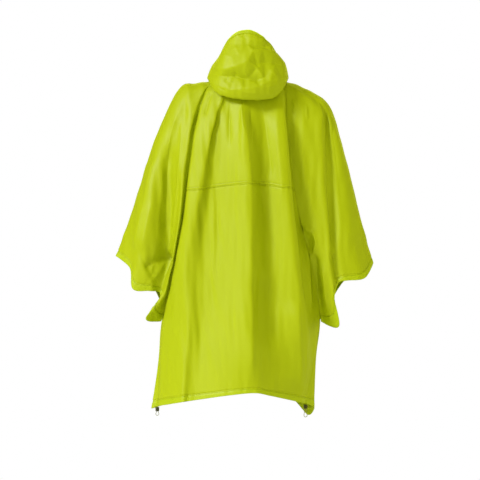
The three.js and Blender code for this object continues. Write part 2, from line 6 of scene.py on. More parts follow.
import bpy
import numpy as np
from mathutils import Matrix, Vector
from mathutils.geometry import delaunay_2d_cdt


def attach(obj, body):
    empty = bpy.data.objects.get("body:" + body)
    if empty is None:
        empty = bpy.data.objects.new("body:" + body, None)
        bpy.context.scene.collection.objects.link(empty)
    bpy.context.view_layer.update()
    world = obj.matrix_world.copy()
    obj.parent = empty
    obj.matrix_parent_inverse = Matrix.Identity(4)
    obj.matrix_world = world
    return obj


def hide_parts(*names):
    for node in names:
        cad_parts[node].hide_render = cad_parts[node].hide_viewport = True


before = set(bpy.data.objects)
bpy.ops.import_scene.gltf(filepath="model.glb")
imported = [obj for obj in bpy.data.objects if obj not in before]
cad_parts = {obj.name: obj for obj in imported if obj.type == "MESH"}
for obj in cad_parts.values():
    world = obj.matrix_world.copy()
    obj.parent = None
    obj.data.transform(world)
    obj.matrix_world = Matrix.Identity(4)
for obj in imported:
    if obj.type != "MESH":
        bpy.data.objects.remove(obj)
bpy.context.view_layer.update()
MM = 0.001

# Cloth
WALL = 0.9
DOUBLE_WALL = 1.6
HEM_DEPTH = 19
CUFF_HEM_DEPTH = 17
BRIM_DEPTH = 8

# Widths and heights below are as seen square from behind, from this place
VIEW = {"x": -22, "z": -502, "distance": 4500}
LENS = 109

# Heights of the body's sections: neck, collar, blade, chest, waist, hip, underarm, thigh, hem
HEIGHTS = [-3, -44, -155, -285, -440, -601, -750, -880, -1005]
UNDERARM = 6
HEM = 8
CROSS_SEAM = 3.42
HEM_TOP = HEM - HEM_DEPTH / (HEIGHTS[HEM - 1] - HEIGHTS[HEM])

# Depth of the body's sections at its middle and at its side seams
BODY = {
    "back_middle": [-85, -112, -140, -152, -156, -165, -176, -184, -190],
    "back_left": [-60, -74, -112, -124, -122, -92, -38, -26, -22],
    "back_right": [-60, -74, -106, -116, -114, -84, -36, -26, -22],
    "front_middle": [91, 104, 122, 132, 140, 150, 162, 174, 184],
    "front_left": [58, 72, 92, 98, 90, 50, -38, -26, -22],
    "front_right": [58, 72, 92, 98, 90, 50, -36, -26, -22],
}
BODY_ROUND = {"side": 2.6, "middle": 0.7}
FRONT_NECK_DROP = [0, 52, 26, 8, 0, 0, 0, 0, 0]

# Neck ring
NECK = {"half_width": 108, "half_depth": 88, "middle_y": 3, "front_drop": 55}
NECK_ANGLES = {"back_seam": 50, "ridge": 95, "front_seam": 132}

# Folds of the back: x at each height below the neck, and lift out of the cloth at four heights
BACK_FOLDS = {
    "seam_left": ([-129, -160, -180, -200, -230, -260, -269, -278], [-14, -20, 0, 0]),
    "edge_left": ([-122, -154, -175, -194, -223, -249, -258, -266], [6, 8, 5, 3]),
    "crest_left": ([-80, -108, -136, -164, -189, -189, -201, -208], [9, 13, 12, 11]),
    "valley_left": ([-56, -93, -104, -122, -133, -136, -152, -167], [-9, -13, -13, -11]),
    "flank": ([-34, -46, -50, -56, -62, -62, -65, -62], [0, 3, 3, 3]),
    "crest_middle": ([-12, -3, 3, 9, 11, 11, 15, 22], [13, 18, 19, 11]),
    "valley_middle": ([28, 42, 52, 60, 68, 74, 74, 74], [-14, -21, -23, -8]),
    "crest_right": ([92, 96, 104, 118, 138, 158, 172, 160], [6, 9, 9, 6]),
    "edge_right": ([110, 115, 127, 142, 162, 182, 187, 166], [6, 8, 8, 3]),
    "tuck_right": ([112, 115, 126, 148, 182, 204, 196, 174], [-9, -18, -16, 0]),
    "seam_right": ([118, 125, 138, 164, 204, 225, 203, 181], [-18, -28, 0, 0]),
}

# Folds of the front, plain, with the height of the hem at each but the side seams
FRONT_FOLDS = {
    "front_seam_right": ([118, 140, 162, 186, 212, 225, 203, 181], [-14, -18, 0, 0]),
    "front_edge_right": ([104, 124, 144, 168, 194, 218, 212, 207], [4, 6, 14, 34], -1020),
    "front_corner_right": ([84, 100, 116, 134, 156, 188, 190, 188], [4, 4, 8, 56], -1043),
    "front_crest_right": ([60, 72, 82, 92, 104, 122, 132, 138], [6, 9, 11, 13], -990),
    "front_valley_right": ([32, 38, 42, 48, 54, 62, 68, 70], [-5, -8, -10, -12], -968),
    "front_crest_middle": ([0, -2, -4, -6, -8, -10, -8, -6], [5, 8, 10, 12], -962),
    "front_valley_left": ([-32, -42, -52, -62, -74, -84, -88, -90], [-5, -8, -10, -12], -968),
    "front_crest_left": ([-66, -86, -102, -118, -140, -160, -168, -172], [6, 9, 10, 12], -986),
    "front_edge_left": ([-106, -134, -158, -184, -220, -254, -266, -290], [4, 6, 16, 32], -1022),
    "front_seam_left": ([-129, -152, -174, -200, -234, -262, -269, -278], [-14, -18, 0, 0]),
}
LIFT_HEIGHTS = [2, 4, 6, 8]

# How far the back's cross seam rises over each of its folds, in heights
CROSS_SEAM_RISE = [0, 0, 0.01, 0.05, 0.095, 0.123, 0.11, 0.05, 0.045, 0.02, 0]

# Hem of the back: highest near the middle, lower at the sides
BACK_HEM = {
    "top_x": 17,
    "top_z": -976,
    "left_reach": 290,
    "left_drop": 40,
    "right_reach": 152,
    "right_drop": 30,
    "bow": 1.2,
}

# Overarm ridge, from the neck ring to the cuff's upper corner: x, y and z
RIDGE = {
    "left": [
        [-108, 0, -7],
        [-158, 2, -17],
        [-213, 2, -37],
        [-285, 4, -190],
        [-325, 8, -315],
        [-365, 12, -440],
        [-406, 14, -552],
    ],
    "right": [
        [108, 0, -7],
        [162, 2, -25],
        [251, 2, -81],
        [285, 4, -186],
        [319, 8, -315],
        [349, 12, -440],
        [390, 14, -572],
    ],
}

# Folds of the sleeves: share of the way from the overarm ridge to the seam, and lift, at each section
SLEEVE_FOLDS = {
    "left": {
        "strip": ([0.8, 0.84, 0.84, 0.87, 0.93, 0.95, 0.88], [0, 2, 6, 11, 13, 13, 10]),
        "strip_side": ([0.7, 0.72, 0.66, 0.72, 0.86, 0.91, 0.78], [0, 1, 2, 0, -6, -6, 4]),
        "valley": ([0.6, 0.58, 0.48, 0.5, 0.7, 0.84, 0.66], [0, 0, -3, -15, -25, -27, -20]),
        "flank": ([0.44, 0.4, 0.28, 0.28, 0.46, 0.58, 0.46], [0, 0, 0, -1, -4, -5, -6]),
        "middle": ([0.3, 0.24, 0.16, 0.14, 0.24, 0.34, 0.3], [0, 0, 1, 7, 11, 11, 4]),
        "outer": ([0.14, 0.1, 0.06, 0.06, 0.11, 0.14, 0.13], [0, 0, 2, 4, 5, 6, 6]),
    },
    "right": {
        "rise": ([0.8, 0.8, 0.7, 0.76, 0.8, 0.86, 0.88], [0, 0, 2, 3, 4, 4, 4]),
        "slope": ([0.62, 0.58, 0.46, 0.52, 0.6, 0.74, 0.78], [0, 1, 4, 6, 7, 7, 6]),
        "crest": ([0.44, 0.38, 0.26, 0.34, 0.46, 0.64, 0.68], [0, 2, 7, 9, 10, 10, 8]),
        "pinch": ([0.28, 0.24, 0.16, 0.22, 0.35, 0.54, 0.55], [0, -1, -5, -8, -9, -9, -9]),
        "middle": ([0.17, 0.14, 0.1, 0.14, 0.24, 0.38, 0.4], [0, 0, -1, -1, -1, -1, -1]),
        "outer": ([0.08, 0.07, 0.05, 0.07, 0.11, 0.18, 0.2], [0, 0, 2, 4, 5, 6, 6]),
    },
}
SLEEVE_FRONT = {
    "front_outer": ([0.12, 0.1, 0.08, 0.1, 0.14, 0.16, 0.16], [0, 0, 2, 3, 4, 5, 6]),
    "front_middle": ([0.42, 0.4, 0.36, 0.4, 0.44, 0.46, 0.46], [0, 0, -3, -6, -8, -8, -8]),
    "front_rise": ([0.74, 0.72, 0.7, 0.72, 0.76, 0.78, 0.76], [0, 1, 4, 6, 8, 8, 6]),
}
SLEEVE_ROUND = 2.2
SLEEVE_BULGE = [0, 0, 0, 0, 4, 22, 50]

# Cuff edges: share of the way round from the upper corner to the underarm, x and z
CUFF = {
    "left_back": [
        [0, -406, -552],
        [0.1, -371, -580],
        [0.2, -341, -612],
        [0.3, -353, -654],
        [0.4, -319, -666],
        [0.5, -290, -656],
        [0.6, -274, -648],
        [0.7, -269, -676],
        [0.8, -269, -704],
        [0.9, -267, -728],
        [1, -262, -750],
    ],
    "left_front": [
        [0, -406, -552],
        [0.2, -358, -588],
        [0.4, -312, -624],
        [0.6, -278, -656],
        [0.8, -266, -704],
        [1, -262, -750],
    ],
    "right_back": [
        [0, 391, -572],
        [0.08, 381, -590],
        [0.16, 373, -614],
        [0.26, 351, -629],
        [0.4, 309, -628],
        [0.52, 288, -628],
        [0.6, 276, -646],
        [0.7, 268, -684],
        [0.8, 258, -712],
        [0.9, 244, -736],
        [1, 225, -750],
    ],
    "right_front": [
        [0, 391, -572],
        [0.2, 358, -596],
        [0.4, 314, -616],
        [0.6, 280, -646],
        [0.8, 254, -702],
        [1, 225, -750],
    ],
}

# Lowest corner of each cuff, which swings out near the edge: place round the cuff and reach
FLAP = {
    "left": {"share": 0.87, "width": 0.17, "x": -46, "z": -26},
    "right": {"share": 0.85, "width": 0.19, "x": 32, "z": -46},
}
FLAP_FROM = 5.55

# Hood worn down: angle from the middle of the back, then places of its throat, rim, side and brim
HOOD_RINGS = [
    (-180, [[0, 96, -48], [0, 104, -36], [0, 104, -14], [0, 90, 12]]),
    (-140, [[-74, 72, -24], [-84, 76, -14], [-84, 72, 6], [-68, 60, 30]]),
    (-105, [[-108, 28, 2], [-119, 14, 2], [-106, 8, 36], [-82, 4, 58]]),
    (-70, [[-106, -34, 6], [-119, -80, -8], [-99, -72, 42], [-76, -60, 86]]),
    (-35, [[-68, -80, 12], [-88, -132, -50], [-76, -138, 34], [-46, -106, 132]]),
    (0, [[2, -96, 12], [2, -150, -66], [4, -160, 28], [4, -116, 148]]),
    (35, [[68, -80, 12], [84, -132, -60], [84, -138, 28], [54, -106, 123]]),
    (70, [[112, -34, 8], [122, -84, -12], [116, -76, 42], [86, -62, 84]]),
    (105, [[114, 28, 4], [124, 14, 3], [113, 8, 34], [88, 4, 54]]),
    (140, [[76, 72, -24], [86, 76, -14], [86, 72, 6], [70, 60, 28]]),
]
HOOD_LIFT = 2.6
HOOD_TOP = 4

# Hem corner toggles on short elastic loops, under the side seams
TOGGLE = {"height": 12, "below_hem": 3, "slot_width": 6.4, "slot_depth": 3.2, "sides": 40}
LOOP = {"radius": 0.9, "strand": 2.2, "bend": 4.8, "bend_steps": 6, "below_cloth": 1.5}
LOOP_DROP = {"left": 13, "right": 26}

# Studio light: strength all round, then the way each lamp shines, its power and its softness in degrees
AMBIENT = 0.42
AMBIENT_TINT = (1, 1, 0.12, 1)
SUNS = {
    "key": ((0.74, 0.62, -0.56), 2.8, 14),
    "fill": ((0.1, 0.95, -0.15), 0.75, 60),
    "side": ((-1, -0.1, -0.3), 0.8, 40),
    "bounce": ((0.8, 0.6, 0.3), 0.5, 50),
    "rear": ((-0.1, -0.9, -0.35), 1.3, 50),
}

# Floor
FLOOR = {"half": 12, "z": -1500}

# Creases beyond the main folds, as seen from behind: line, lift, width on each side of it,
# and share faded at its ends
BACK_CREASES = [
    ([(-12, -81), (-3, -161), (6, -270), (11, -378), (11, -533), (16, -880), (25, -960)], 11, 40, 12, 0.12),
    (
        [(112, -81), (115, -155), (127, -285), (142, -440), (162, -601), (182, -750), (188, -860)],
        7, 30, 5, 0.1,
    ),
    ([(168, -540), (175, -620), (186, -710), (193, -790)], -8, 8, 6, 0.2),
    ([(176, -500), (188, -560), (192, -640), (200, -730)], 8, 7, 7, 0.2),
    ([(200, -560), (203, -630), (206, -720)], -3, 5, 5, 0.25),
    ([(43, -81), (56, -143), (65, -208), (78, -322)], -5.5, 14, 10, 0.2),
    ([(-105, -304), (-102, -409), (-104, -533), (-105, -688)], 3.5, 6, 6, 0.3),
    ([(-90, -332), (-91, -471), (-93, -626)], -3, 5, 5, 0.3),
    ([(-81, -68), (-90, -130), (-112, -208), (-118, -285)], -4, 8, 6, 0.3),
    ([(-53, -68), (-56, -146), (-53, -223)], -6, 6, 5, 0.35),
    ([(-19, -68), (-12, -143), (-3, -192)], 6, 6, 4, 0.35),
    ([(12, -81), (12, -146), (9, -223)], -6, 5, 6, 0.35),
    ([(-105, -38), (-116, -62), (-124, -84), (-134, -124)], -5, 5, 5, 0.3),
    ([(28, -319), (46, -332), (65, -329)], -3, 5, 5, 0.3),
    ([(9, -211), (46, -223), (84, -214)], 2, 6, 6, 0.35),
    ([(46, -335), (46, -378), (50, -440)], -2, 5, 5, 0.35),
    ([(40, -590), (40, -690), (40, -760), (44, -850)], -11, 26, 40, 0.3),
    ([(158, -680), (160, -780), (162, -880), (160, -980)], 12, 44, 12, 0.2),
]
SLEEVE_CREASES = {
    "left": [
        ([(-232, -549), (-276, -567), (-322, -592)], -15, 22, 20, 0.15),
        ([(-242, -555), (-264, -589), (-291, -629)], 4.5, 7, 7, 0.25),
        ([(-270, -570), (-288, -601), (-307, -632)], -3, 6, 6, 0.3),
        ([(-290, -240), (-306, -330), (-326, -430), (-352, -540)], 9, 14, 44, 0.15),
        ([(-240, -200), (-246, -300), (-248, -400), (-250, -510)], -10, 36, 10, 0.2),
        ([(-294, -378), (-310, -456), (-329, -549)], 4.5, 9, 14, 0.25),
        ([(-211, -99), (-232, -161), (-251, -254)], 4.5, 10, 14, 0.3),
        ([(-140, -105), (-158, -136), (-170, -192)], -6, 12, 6, 0.25),
        ([(-198, -105), (-205, -192), (-208, -316)], 3, 8, 8, 0.3),
        ([(-208, -223), (-214, -332), (-229, -471), (-245, -570)], 4, 6, 6, 0.2),
        ([(-223, -446), (-239, -533), (-251, -611)], -4.5, 5, 5, 0.2),
        ([(-294, -704), (-282, -725), (-276, -750)], 4.5, 6, 6, 0.3),
    ],
    "right": [
        ([(242, -81), (245, -186), (251, -335), (260, -456), (267, -549)], -7.5, 8, 7, 0.15),
        ([(251, -99), (260, -223), (270, -378)], 4.5, 8, 10, 0.25),
        ([(240, -90), (276, -200), (307, -316), (335, -440), (360, -533)], 11, 38, 12, 0.15),
        ([(183, -74), (186, -136)], 4.5, 5, 5, 0.4),
        ([(217, -62), (229, -112), (232, -149)], 5, 6, 6, 0.35),
        ([(143, -62), (146, -105)], 4, 5, 5, 0.4),
        ([(155, -465), (182, -468), (204, -480), (214, -508), (208, -540), (180, -550)], 11, 7, 14, 0.12),
        ([(164, -496), (186, -502), (198, -533)], -7.5, 12, 12, 0.25),
        ([(214, -539), (214, -611), (220, -679)], -9, 8, 8, 0.2),
        ([(186, -539), (189, -611), (198, -682)], 7.5, 6, 6, 0.25),
        ([(164, -558), (170, -642), (180, -735)], -6, 6, 6, 0.25),
        ([(232, -570), (242, -657), (251, -725)], 6, 8, 8, 0.25),
        ([(267, -539), (273, -589), (279, -632)], -6, 6, 5, 0.2),
        ([(329, -409), (350, -502), (375, -601)], 4, 5, 5, 0.25),
        ([(344, -446), (363, -527), (384, -595)], -2, 4, 4, 0.25),
        ([(356, -477), (372, -539), (388, -589)], 3, 4, 4, 0.25),
    ],
}
HOOD_CREASES = [
    ([(22, 46), (37, 22), (53, 0)], 3, 4, 3, 0.25),
    ([(-37, 20), (-40, 2)], -4, 3, 3, 0.3),
    ([(-64, 3), (-66, -17)], -4, 3, 3, 0.3),
    ([(-48, 6), (-54, -16)], 2.5, 3, 4, 0.3),
    ([(-93, -26), (-78, -34), (-62, -42)], -2.5, 2.5, 2.5, 0.2),
    ([(74, 90), (84, 84), (94, 76)], -4, 4, 4, 0.25),
    ([(-28, 137), (-16, 130), (-3, 133)], -3, 5, 5, 0.3),
    ([(-78, 62), (-62, 68), (-46, 60)], 2, 6, 6, 0.3),
    ([(-40, 100), (-30, 84), (-24, 66)], 2, 5, 7, 0.3),
    ([(-12, 30), (-3, 12), (-1, 2)], 2, 4, 5, 0.3),
    ([(68, 30), (80, 18), (92, 4)], 2.5, 5, 6, 0.3),
    ([(-30, -38), (0, -46), (40, -48)], 2, 5, 5, 0.3),
    ([(54, -30), (76, -26), (98, -14)], 2, 4, 5, 0.3),
]
# Flat facets pressed into the hood's back, between these lines: x, z as seen from behind, and lift
HOOD_FACETS = {
    "brow": [
        (-9, 130, 2), (16, 121, 4), (46, 115, 3),
    ],
    "brow_dip": [
        (3, 102, 0), (28, 96, -5), (56, 96, -4),
    ],
    "ridge": [
        (-99, 28, 4), (-62, 26, 8), (-34, 33, 11), (3, 50, 12), (11, 67, 11), (17, 82, 10), (46, 85, 7),
        (74, 78, 6), (99, 56, 3),
    ],
    "right_dip": [
        (31, 45, -7), (59, 51, -10), (90, 46, -6), (112, 34, 0),
    ],
    "short_edge": [
        (31, 31, -3), (40, 19, -3), (53, 0, -4),
    ],
    "middle_dip": [
        (-87, 6, -4), (-37, 5, -12), (0, -3, -14), (34, -8, -12),
    ],
    "lower_ridge": [
        (-93, -25, 2), (-50, -37, 7), (-6, -33, 9), (37, -26, 9), (65, -11, 8), (108, -5, 5),
    ],
    "edge": [
        (-121, 0, 0), (-108, 37, 0), (-90, 71, 0), (-65, 105, 0), (-43, 133, 0), (-22, 149, 0),
        (3, 155, 0), (28, 149, 0), (50, 130, 0), (68, 105, 0), (99, 78, 0), (121, 43, 0), (133, 0, 0),
        (124, -31, 0), (90, -62, 0), (40, -78, 0), (-22, -78, 0), (-78, -62, 0), (-108, -31, 0),
        (-121, 0, 0),
    ],
}

# Share of a facet by which a point may lie outside it and still count as inside
EDGE_SLACK = 1e-6

FRONT_CREASES = [
    ([(-6, -120), (-8, -300), (-12, -520), (-14, -760), (-10, -950)], 4, 12, 28, 0.1),
    ([(44, -150), (52, -330), (60, -560), (68, -800)], -3, 12, 10, 0.2),
    ([(-50, -160), (-62, -340), (-76, -560), (-88, -820)], -3, 10, 14, 0.2),
    ([(84, -90), (104, -200), (122, -330)], 3, 8, 12, 0.25),
    ([(-92, -90), (-112, -190), (-138, -330)], 3, 12, 8, 0.25),
    ([(-30, -110), (-34, -180), (-30, -260)], -2.5, 6, 6, 0.35),
    ([(24, -110), (20, -190), (26, -280)], 2.5, 6, 6, 0.35),
    ([(150, -420), (170, -520), (190, -640)], -4, 10, 8, 0.25),
    ([(-170, -420), (-196, -540), (-222, -660)], -4, 8, 10, 0.25),
    ([(60, -300), (20, -316), (-30, -306)], 1.8, 7, 7, 0.35),
]
SLEEVE_FRONT_CREASES = {
    "left": [
        ([(-200, -90), (-226, -170), (-250, -280)], 3, 9, 13, 0.3),
        ([(-290, -330), (-308, -440), (-330, -540)], 3, 10, 10, 0.25),
        ([(-246, -540), (-280, -560), (-326, -588)], -6, 22, 20, 0.2),
        ([(-222, -360), (-236, -470), (-250, -590)], -3, 7, 7, 0.25),
    ],
    "right": [
        ([(236, -90), (246, -200), (256, -350)], -4, 9, 8, 0.2),
        ([(190, -80), (196, -150), (206, -240)], 3, 7, 8, 0.35),
        ([(200, -470), (228, -500), (240, -560)], 5, 12, 10, 0.2),
        ([(330, -400), (350, -490), (372, -590)], 2.5, 7, 7, 0.25),
        ([(214, -540), (222, -620), (236, -700)], -4, 8, 8, 0.25),
    ],
}
RIPPLE = {"count": 14, "height": 0.8, "across": (20, 60), "down": (200, 520)}

# Sewing
STITCH = {"pitch": 3.4, "length": 2.6, "thread": 0.55, "corners": 5, "sink": 1.5, "spread": 1.5}
STITCH_RINGS = ((-1, 0.35), (-0.6, 1), (0.6, 1), (1, 0.35))
SEAM_ROWS = [2, 9.5]
SEAM_STRIP = 14
SEAM_STEP = 1
WELT = 0.7
WELT_FALL = (0.5, 2.5)
PUCKER = {"wave": 17, "drift": 60, "sway": 1.7, "height": 0.35, "reach": 16}
PIPING = {"radius": 1.3, "corners": 8}
BRIM_SPAN = 90
BRIM_ROW = 1.5

# Fineness of the cloth: columns to a fold line, mm from row to row, and rows counted whole
COLUMNS = {"back": 18, "front": 14, "sleeve": 15, "hood": 22}
ROW_STEP = {"back_upper": 4, "back_lower": 5, "front": 5, "sleeve": 4.5}
ROWS = {"hem": 10, "cuff_hem": 9, "hood": 150, "brim": 8}

# Way a half of the garment faces along Y, and the seed of its ripples
REARWARD = -1
FORWARD = 1
SEEDS = {"back": 1, "front": 2, "hood": 5, "sleeve_right": 10, "sleeve_left": 20}

# Toggle barrel from its bottom to its top: radius and height about its middle
TOGGLE_OUTLINE = [
    (4.4, -6),
    (5.3, -5.7),
    (5.6, -5),
    (5.7, -3.2),
    (5.4, -2.8),
    (5.4, -2.3),
    (5.8, -1.9),
    (5.9, -0.5),
    (5.6, -0.1),
    (5.6, 0.4),
    (6, 0.8),
    (6.1, 2.3),
    (5.8, 2.7),
    (5.8, 3.2),
    (6.3, 3.6),
    (6.4, 4.9),
    (6.1, 5.6),
    (5.1, 6),
]


def add_object(name, data):
    made = bpy.data.objects.new(name, data)
    bpy.context.collection.objects.link(made)
    return made


def add_camera():
    camera = add_object("camera", bpy.data.cameras.new("camera"))
    camera.location = (VIEW["x"] * MM, -VIEW["distance"] * MM, VIEW["z"] * MM)
    camera.rotation_euler = (np.pi / 2, 0, 0)
    camera.data.lens = LENS
    bpy.context.scene.camera = camera


# Cubic through evenly spaced values, at place t
def cubic(a, b, c, d, t):
    return 0.5 * (2 * b + (c - a) * t + (2 * a - 5 * b + 4 * c - d) * t**2 + (3 * b - a - 3 * c + d) * t**3)


# Points of a row at places v, smooth, straight on past both ends
def along(points, v):
    points = np.asarray(points, float)
    v = np.atleast_1d(v)
    held = np.vstack([2 * points[0] - points[1], points, 2 * points[-1] - points[-2]])
    i = np.clip(np.floor(v).astype(int), 0, len(points) - 2)
    t = (v - i)[:, None]
    return cubic(held[i], held[i + 1], held[i + 2], held[i + 3], t)


def from_table(table, share, column):
    table = np.array(table, float)
    return np.interp(share, table[:, 0], table[:, column])


def smoothstep(value, low, high):
    t = np.clip((value - low) / (high - low), 0, 1)
    return t * t * (3 - 2 * t)


def mix(a, b, share):
    return a + (b - a) * share


# Moves points, given as seen from behind, to their true places at their own depths
def as_built(points):
    nearer = 1 + points[..., 1] / VIEW["distance"]
    x = VIEW["x"] + (points[..., 0] - VIEW["x"]) * nearer
    z = VIEW["z"] + (points[..., 2] - VIEW["z"]) * nearer
    return np.stack([x, points[..., 1], z], axis=-1)


# The other way: where true points are seen from behind
def as_seen(points):
    nearer = 1 + points[..., 1] / VIEW["distance"]
    x = VIEW["x"] + (points[..., 0] - VIEW["x"]) / nearer
    z = VIEW["z"] + (points[..., 2] - VIEW["z"]) / nearer
    return x, z


def neck_point(angle):
    a = np.radians(angle)
    fall = NECK["front_drop"] * ((1 - np.cos(a)) / 2) ** 3
    y = NECK["middle_y"] - NECK["half_depth"] * np.cos(a)
    return [NECK["half_width"] * np.sin(a), y, HEIGHTS[0] - fall]


def lift_at(lift, level):
    if level < LIFT_HEIGHTS[0]:
        return lift[0] * level / LIFT_HEIGHTS[0] / 2
    return np.interp(level, LIFT_HEIGHTS, lift)


def back_hem_height(x):
    hem = BACK_HEM
    if x < hem["top_x"]:
        return hem["top_z"] - hem["left_drop"] * ((hem["top_x"] - x) / hem["left_reach"]) ** hem["bow"]
    return hem["top_z"] - hem["right_drop"] * ((x - hem["top_x"]) / hem["right_reach"]) ** hem["bow"]


# One fold line of the body, as points at each height
def body_line(fold, side, angle):
    folds = list((BACK_FOLDS if side == "back" else FRONT_FOLDS).values())
    ends = sorted([folds[0][0], folds[-1][0]])
    out = -1 if side == "back" else 1
    points = [neck_point(angle)]
    for level in range(1, len(HEIGHTS)):
        x = fold[0][level - 1]
        left, right = ends[0][level - 1], ends[1][level - 1]
        across = np.clip(2 * (x - left) / (right - left) - 1, -1, 1)
        edge = mix(BODY[side + "_left"][level], BODY[side + "_right"][level], (across + 1) / 2)
        swell = (1 - abs(across) ** BODY_ROUND["side"]) ** BODY_ROUND["middle"]
        y = mix(edge, BODY[side + "_middle"][level], swell) + out * lift_at(fold[1], level)
        z = HEIGHTS[level]
        if side == "front":
            z -= FRONT_NECK_DROP[level] * swell
        if level == HEM:
            z = fold[2] if len(fold) > 2 else back_hem_height(x)
        points.append([x, y, z])
    return np.array(points, float)


# One fold line of a sleeve, between its overarm ridge and its seam
def sleeve_line(fold, side, half, seam, angle):
    out = -1 if half == "back" else 1
    cuff = CUFF[side + "_" + half]
    points = [neck_point(angle)]
    for level in range(1, UNDERARM + 1):
        share = fold[0][level]
        ridge = RIDGE[side][level]
        end = seam[level]
        round_share = (1 - (1 - share) ** SLEEVE_ROUND) ** (1 / SLEEVE_ROUND)
        bulge = SLEEVE_BULGE[level] * np.sin(np.pi * share)
        y = mix(ridge[1], end[1], round_share) + out * (bulge + fold[1][level])
        if level == UNDERARM:
            points.append([from_table(cuff, share, 1), y, from_table(cuff, share, 2)])
        else:
            points.append([mix(ridge[0], end[0], share), y, mix(ridge[2], end[2], share)])
    return np.array(points, float)


def ridge_line(side, angle):
    return np.array([neck_point(angle)] + RIDGE[side][1:], float)


def angles_between(start, end, count):
    return [start + (end - start) * (i + 1) / (count + 1) for i in range(count)]


# All fold lines in order round the garment, from the left seam of the back
def fold_lines():
    lines = {}
    back_seam, ridge, front_seam = NECK_ANGLES["back_seam"], NECK_ANGLES["ridge"], NECK_ANGLES["front_seam"]
    angles = [-back_seam, *angles_between(-back_seam, back_seam, len(BACK_FOLDS) - 2), back_seam]
    for (name, fold), angle in zip(BACK_FOLDS.items(), angles):
        lines[name] = body_line(fold, "back", angle)
    turn = 360 - front_seam
    angles = [front_seam, *angles_between(front_seam, turn, len(FRONT_FOLDS) - 2), turn]
    front = {name: body_line(fold, "front", a) for (name, fold), a in zip(FRONT_FOLDS.items(), angles)}

    angles = angles_between(back_seam, ridge, len(SLEEVE_FOLDS["right"]))
    for (name, fold), angle in zip(SLEEVE_FOLDS["right"].items(), angles):
        lines["right_" + name] = sleeve_line(fold, "right", "back", lines["seam_right"], angle)
    lines["right_ridge"] = ridge_line("right", ridge)
    angles = angles_between(ridge, front_seam, len(SLEEVE_FRONT))
    for (name, fold), angle in zip(SLEEVE_FRONT.items(), angles):
        lines["right_" + name] = sleeve_line(fold, "right", "front", front["front_seam_right"], angle)
    lines.update(front)
    angles = angles_between(360 - front_seam, 360 - ridge, len(SLEEVE_FRONT))
    for (name, fold), angle in zip(reversed(SLEEVE_FRONT.items()), angles):
        lines["left_" + name] = sleeve_line(fold, "left", "front", front["front_seam_left"], angle)
    lines["left_ridge"] = ridge_line("left", 360 - ridge)
    angles = angles_between(360 - ridge, 360 - back_seam, len(SLEEVE_FOLDS["left"]))
    for (name, fold), angle in zip(reversed(SLEEVE_FOLDS["left"].items()), angles):
        lines["left_" + name] = sleeve_line(fold, "left", "back", lines["seam_left"], angle)
    return lines


LINES = fold_lines()
NAMES = list(LINES)
COUNT = len(NAMES)
INDEX = {name: i for i, name in enumerate(NAMES)}
BEYOND = {
    "seam_left": (NAMES[-1], "front_edge_left"),
    "seam_right": ("right_rise", "front_edge_right"),
    "front_seam_left": ("left_front_rise", "edge_left"),
    "front_seam_right": ("right_front_rise", "tuck_right"),
}
BACK_SEAM_OF = {"front_seam_left": "seam_left", "front_seam_right": "seam_right"}


# Below the underarm the front's side seams are the back's
def line_at(index, v):
    name = NAMES[index % COUNT]
    points = along(LINES[name], v)
    if name in BACK_SEAM_OF:
        below = v >= UNDERARM
        points[below] = along(LINES[BACK_SEAM_OF[name]], v)[below]
    return points


# The next line beyond a seam of the body: the sleeve above the underarm, the other panel below it
def beyond_seam(index, v):
    sleeve, panel = BEYOND[NAMES[index]]
    turn = smoothstep(v, UNDERARM - 0.5, UNDERARM)[:, None]
    above = along(LINES[sleeve], np.minimum(v, UNDERARM))
    return mix(above, line_at(INDEX[panel], v), turn)


# Heights to look at on the back so that its cross seam, level in rows, rises over the middle folds
def back_heights(s, rows):
    rise = along(np.array(CROSS_SEAM_RISE)[:, None], s - INDEX["seam_left"])[0, 0]
    below = np.maximum((HEM_TOP - rows) / (HEM_TOP - CROSS_SEAM), 0)
    return rows - rise * np.minimum(rows / CROSS_SEAM, below)


def body_grid(columns, rows, first, last):
    grid = np.empty((len(rows), len(columns), 3))
    for c, s in enumerate(columns):
        v = back_heights(s, rows) if first == INDEX["seam_left"] else rows
        i = int(np.clip(np.floor(s), first, last - 1))
        before = beyond_seam(first, v) if i == first else line_at(i - 1, v)
        after = beyond_seam(last, v) if i + 1 == last else line_at(i + 2, v)
        grid[:, c] = cubic(before, line_at(i, v), line_at(i + 1, v), after, s - i)
    return as_built(grid)


# How far the cuff's lowest corner swings out at this column of the back half
def flap_reach(side, s, rows):
    seam = COUNT if side == "left" else INDEX["seam_right"]
    ridge = INDEX[side + "_ridge"]
    shares = [1, *[fold[0][UNDERARM] for fold in SLEEVE_FOLDS[side].values()], 0]
    place = abs(s - seam)
    if place >= abs(ridge - seam):
        return np.zeros(len(rows))
    share = np.interp(place, range(len(shares)), shares)
    away = min(abs(share - FLAP[side]["share"]) / FLAP[side]["width"], 1)
    ramp = np.clip((rows - FLAP_FROM) / (UNDERARM - FLAP_FROM), 0, 1)
    return (0.5 + 0.5 * np.cos(np.pi * away)) * ramp**2


def sleeve_grid(side, columns, rows):
    grid = np.empty((len(rows), len(columns), 3))
    for c, s in enumerate(columns):
        i = min(int(np.floor(s)), int(columns[-1]) - 1)
        four = [line_at(i + k, rows) for k in (-1, 0, 1, 2)]
        reach = flap_reach(side, s, rows)
        grid[:, c] = cubic(*four, s - i)
        grid[:, c, 0] += FLAP[side]["x"] * reach
        grid[:, c, 2] += FLAP[side]["z"] * reach
    return as_built(grid)


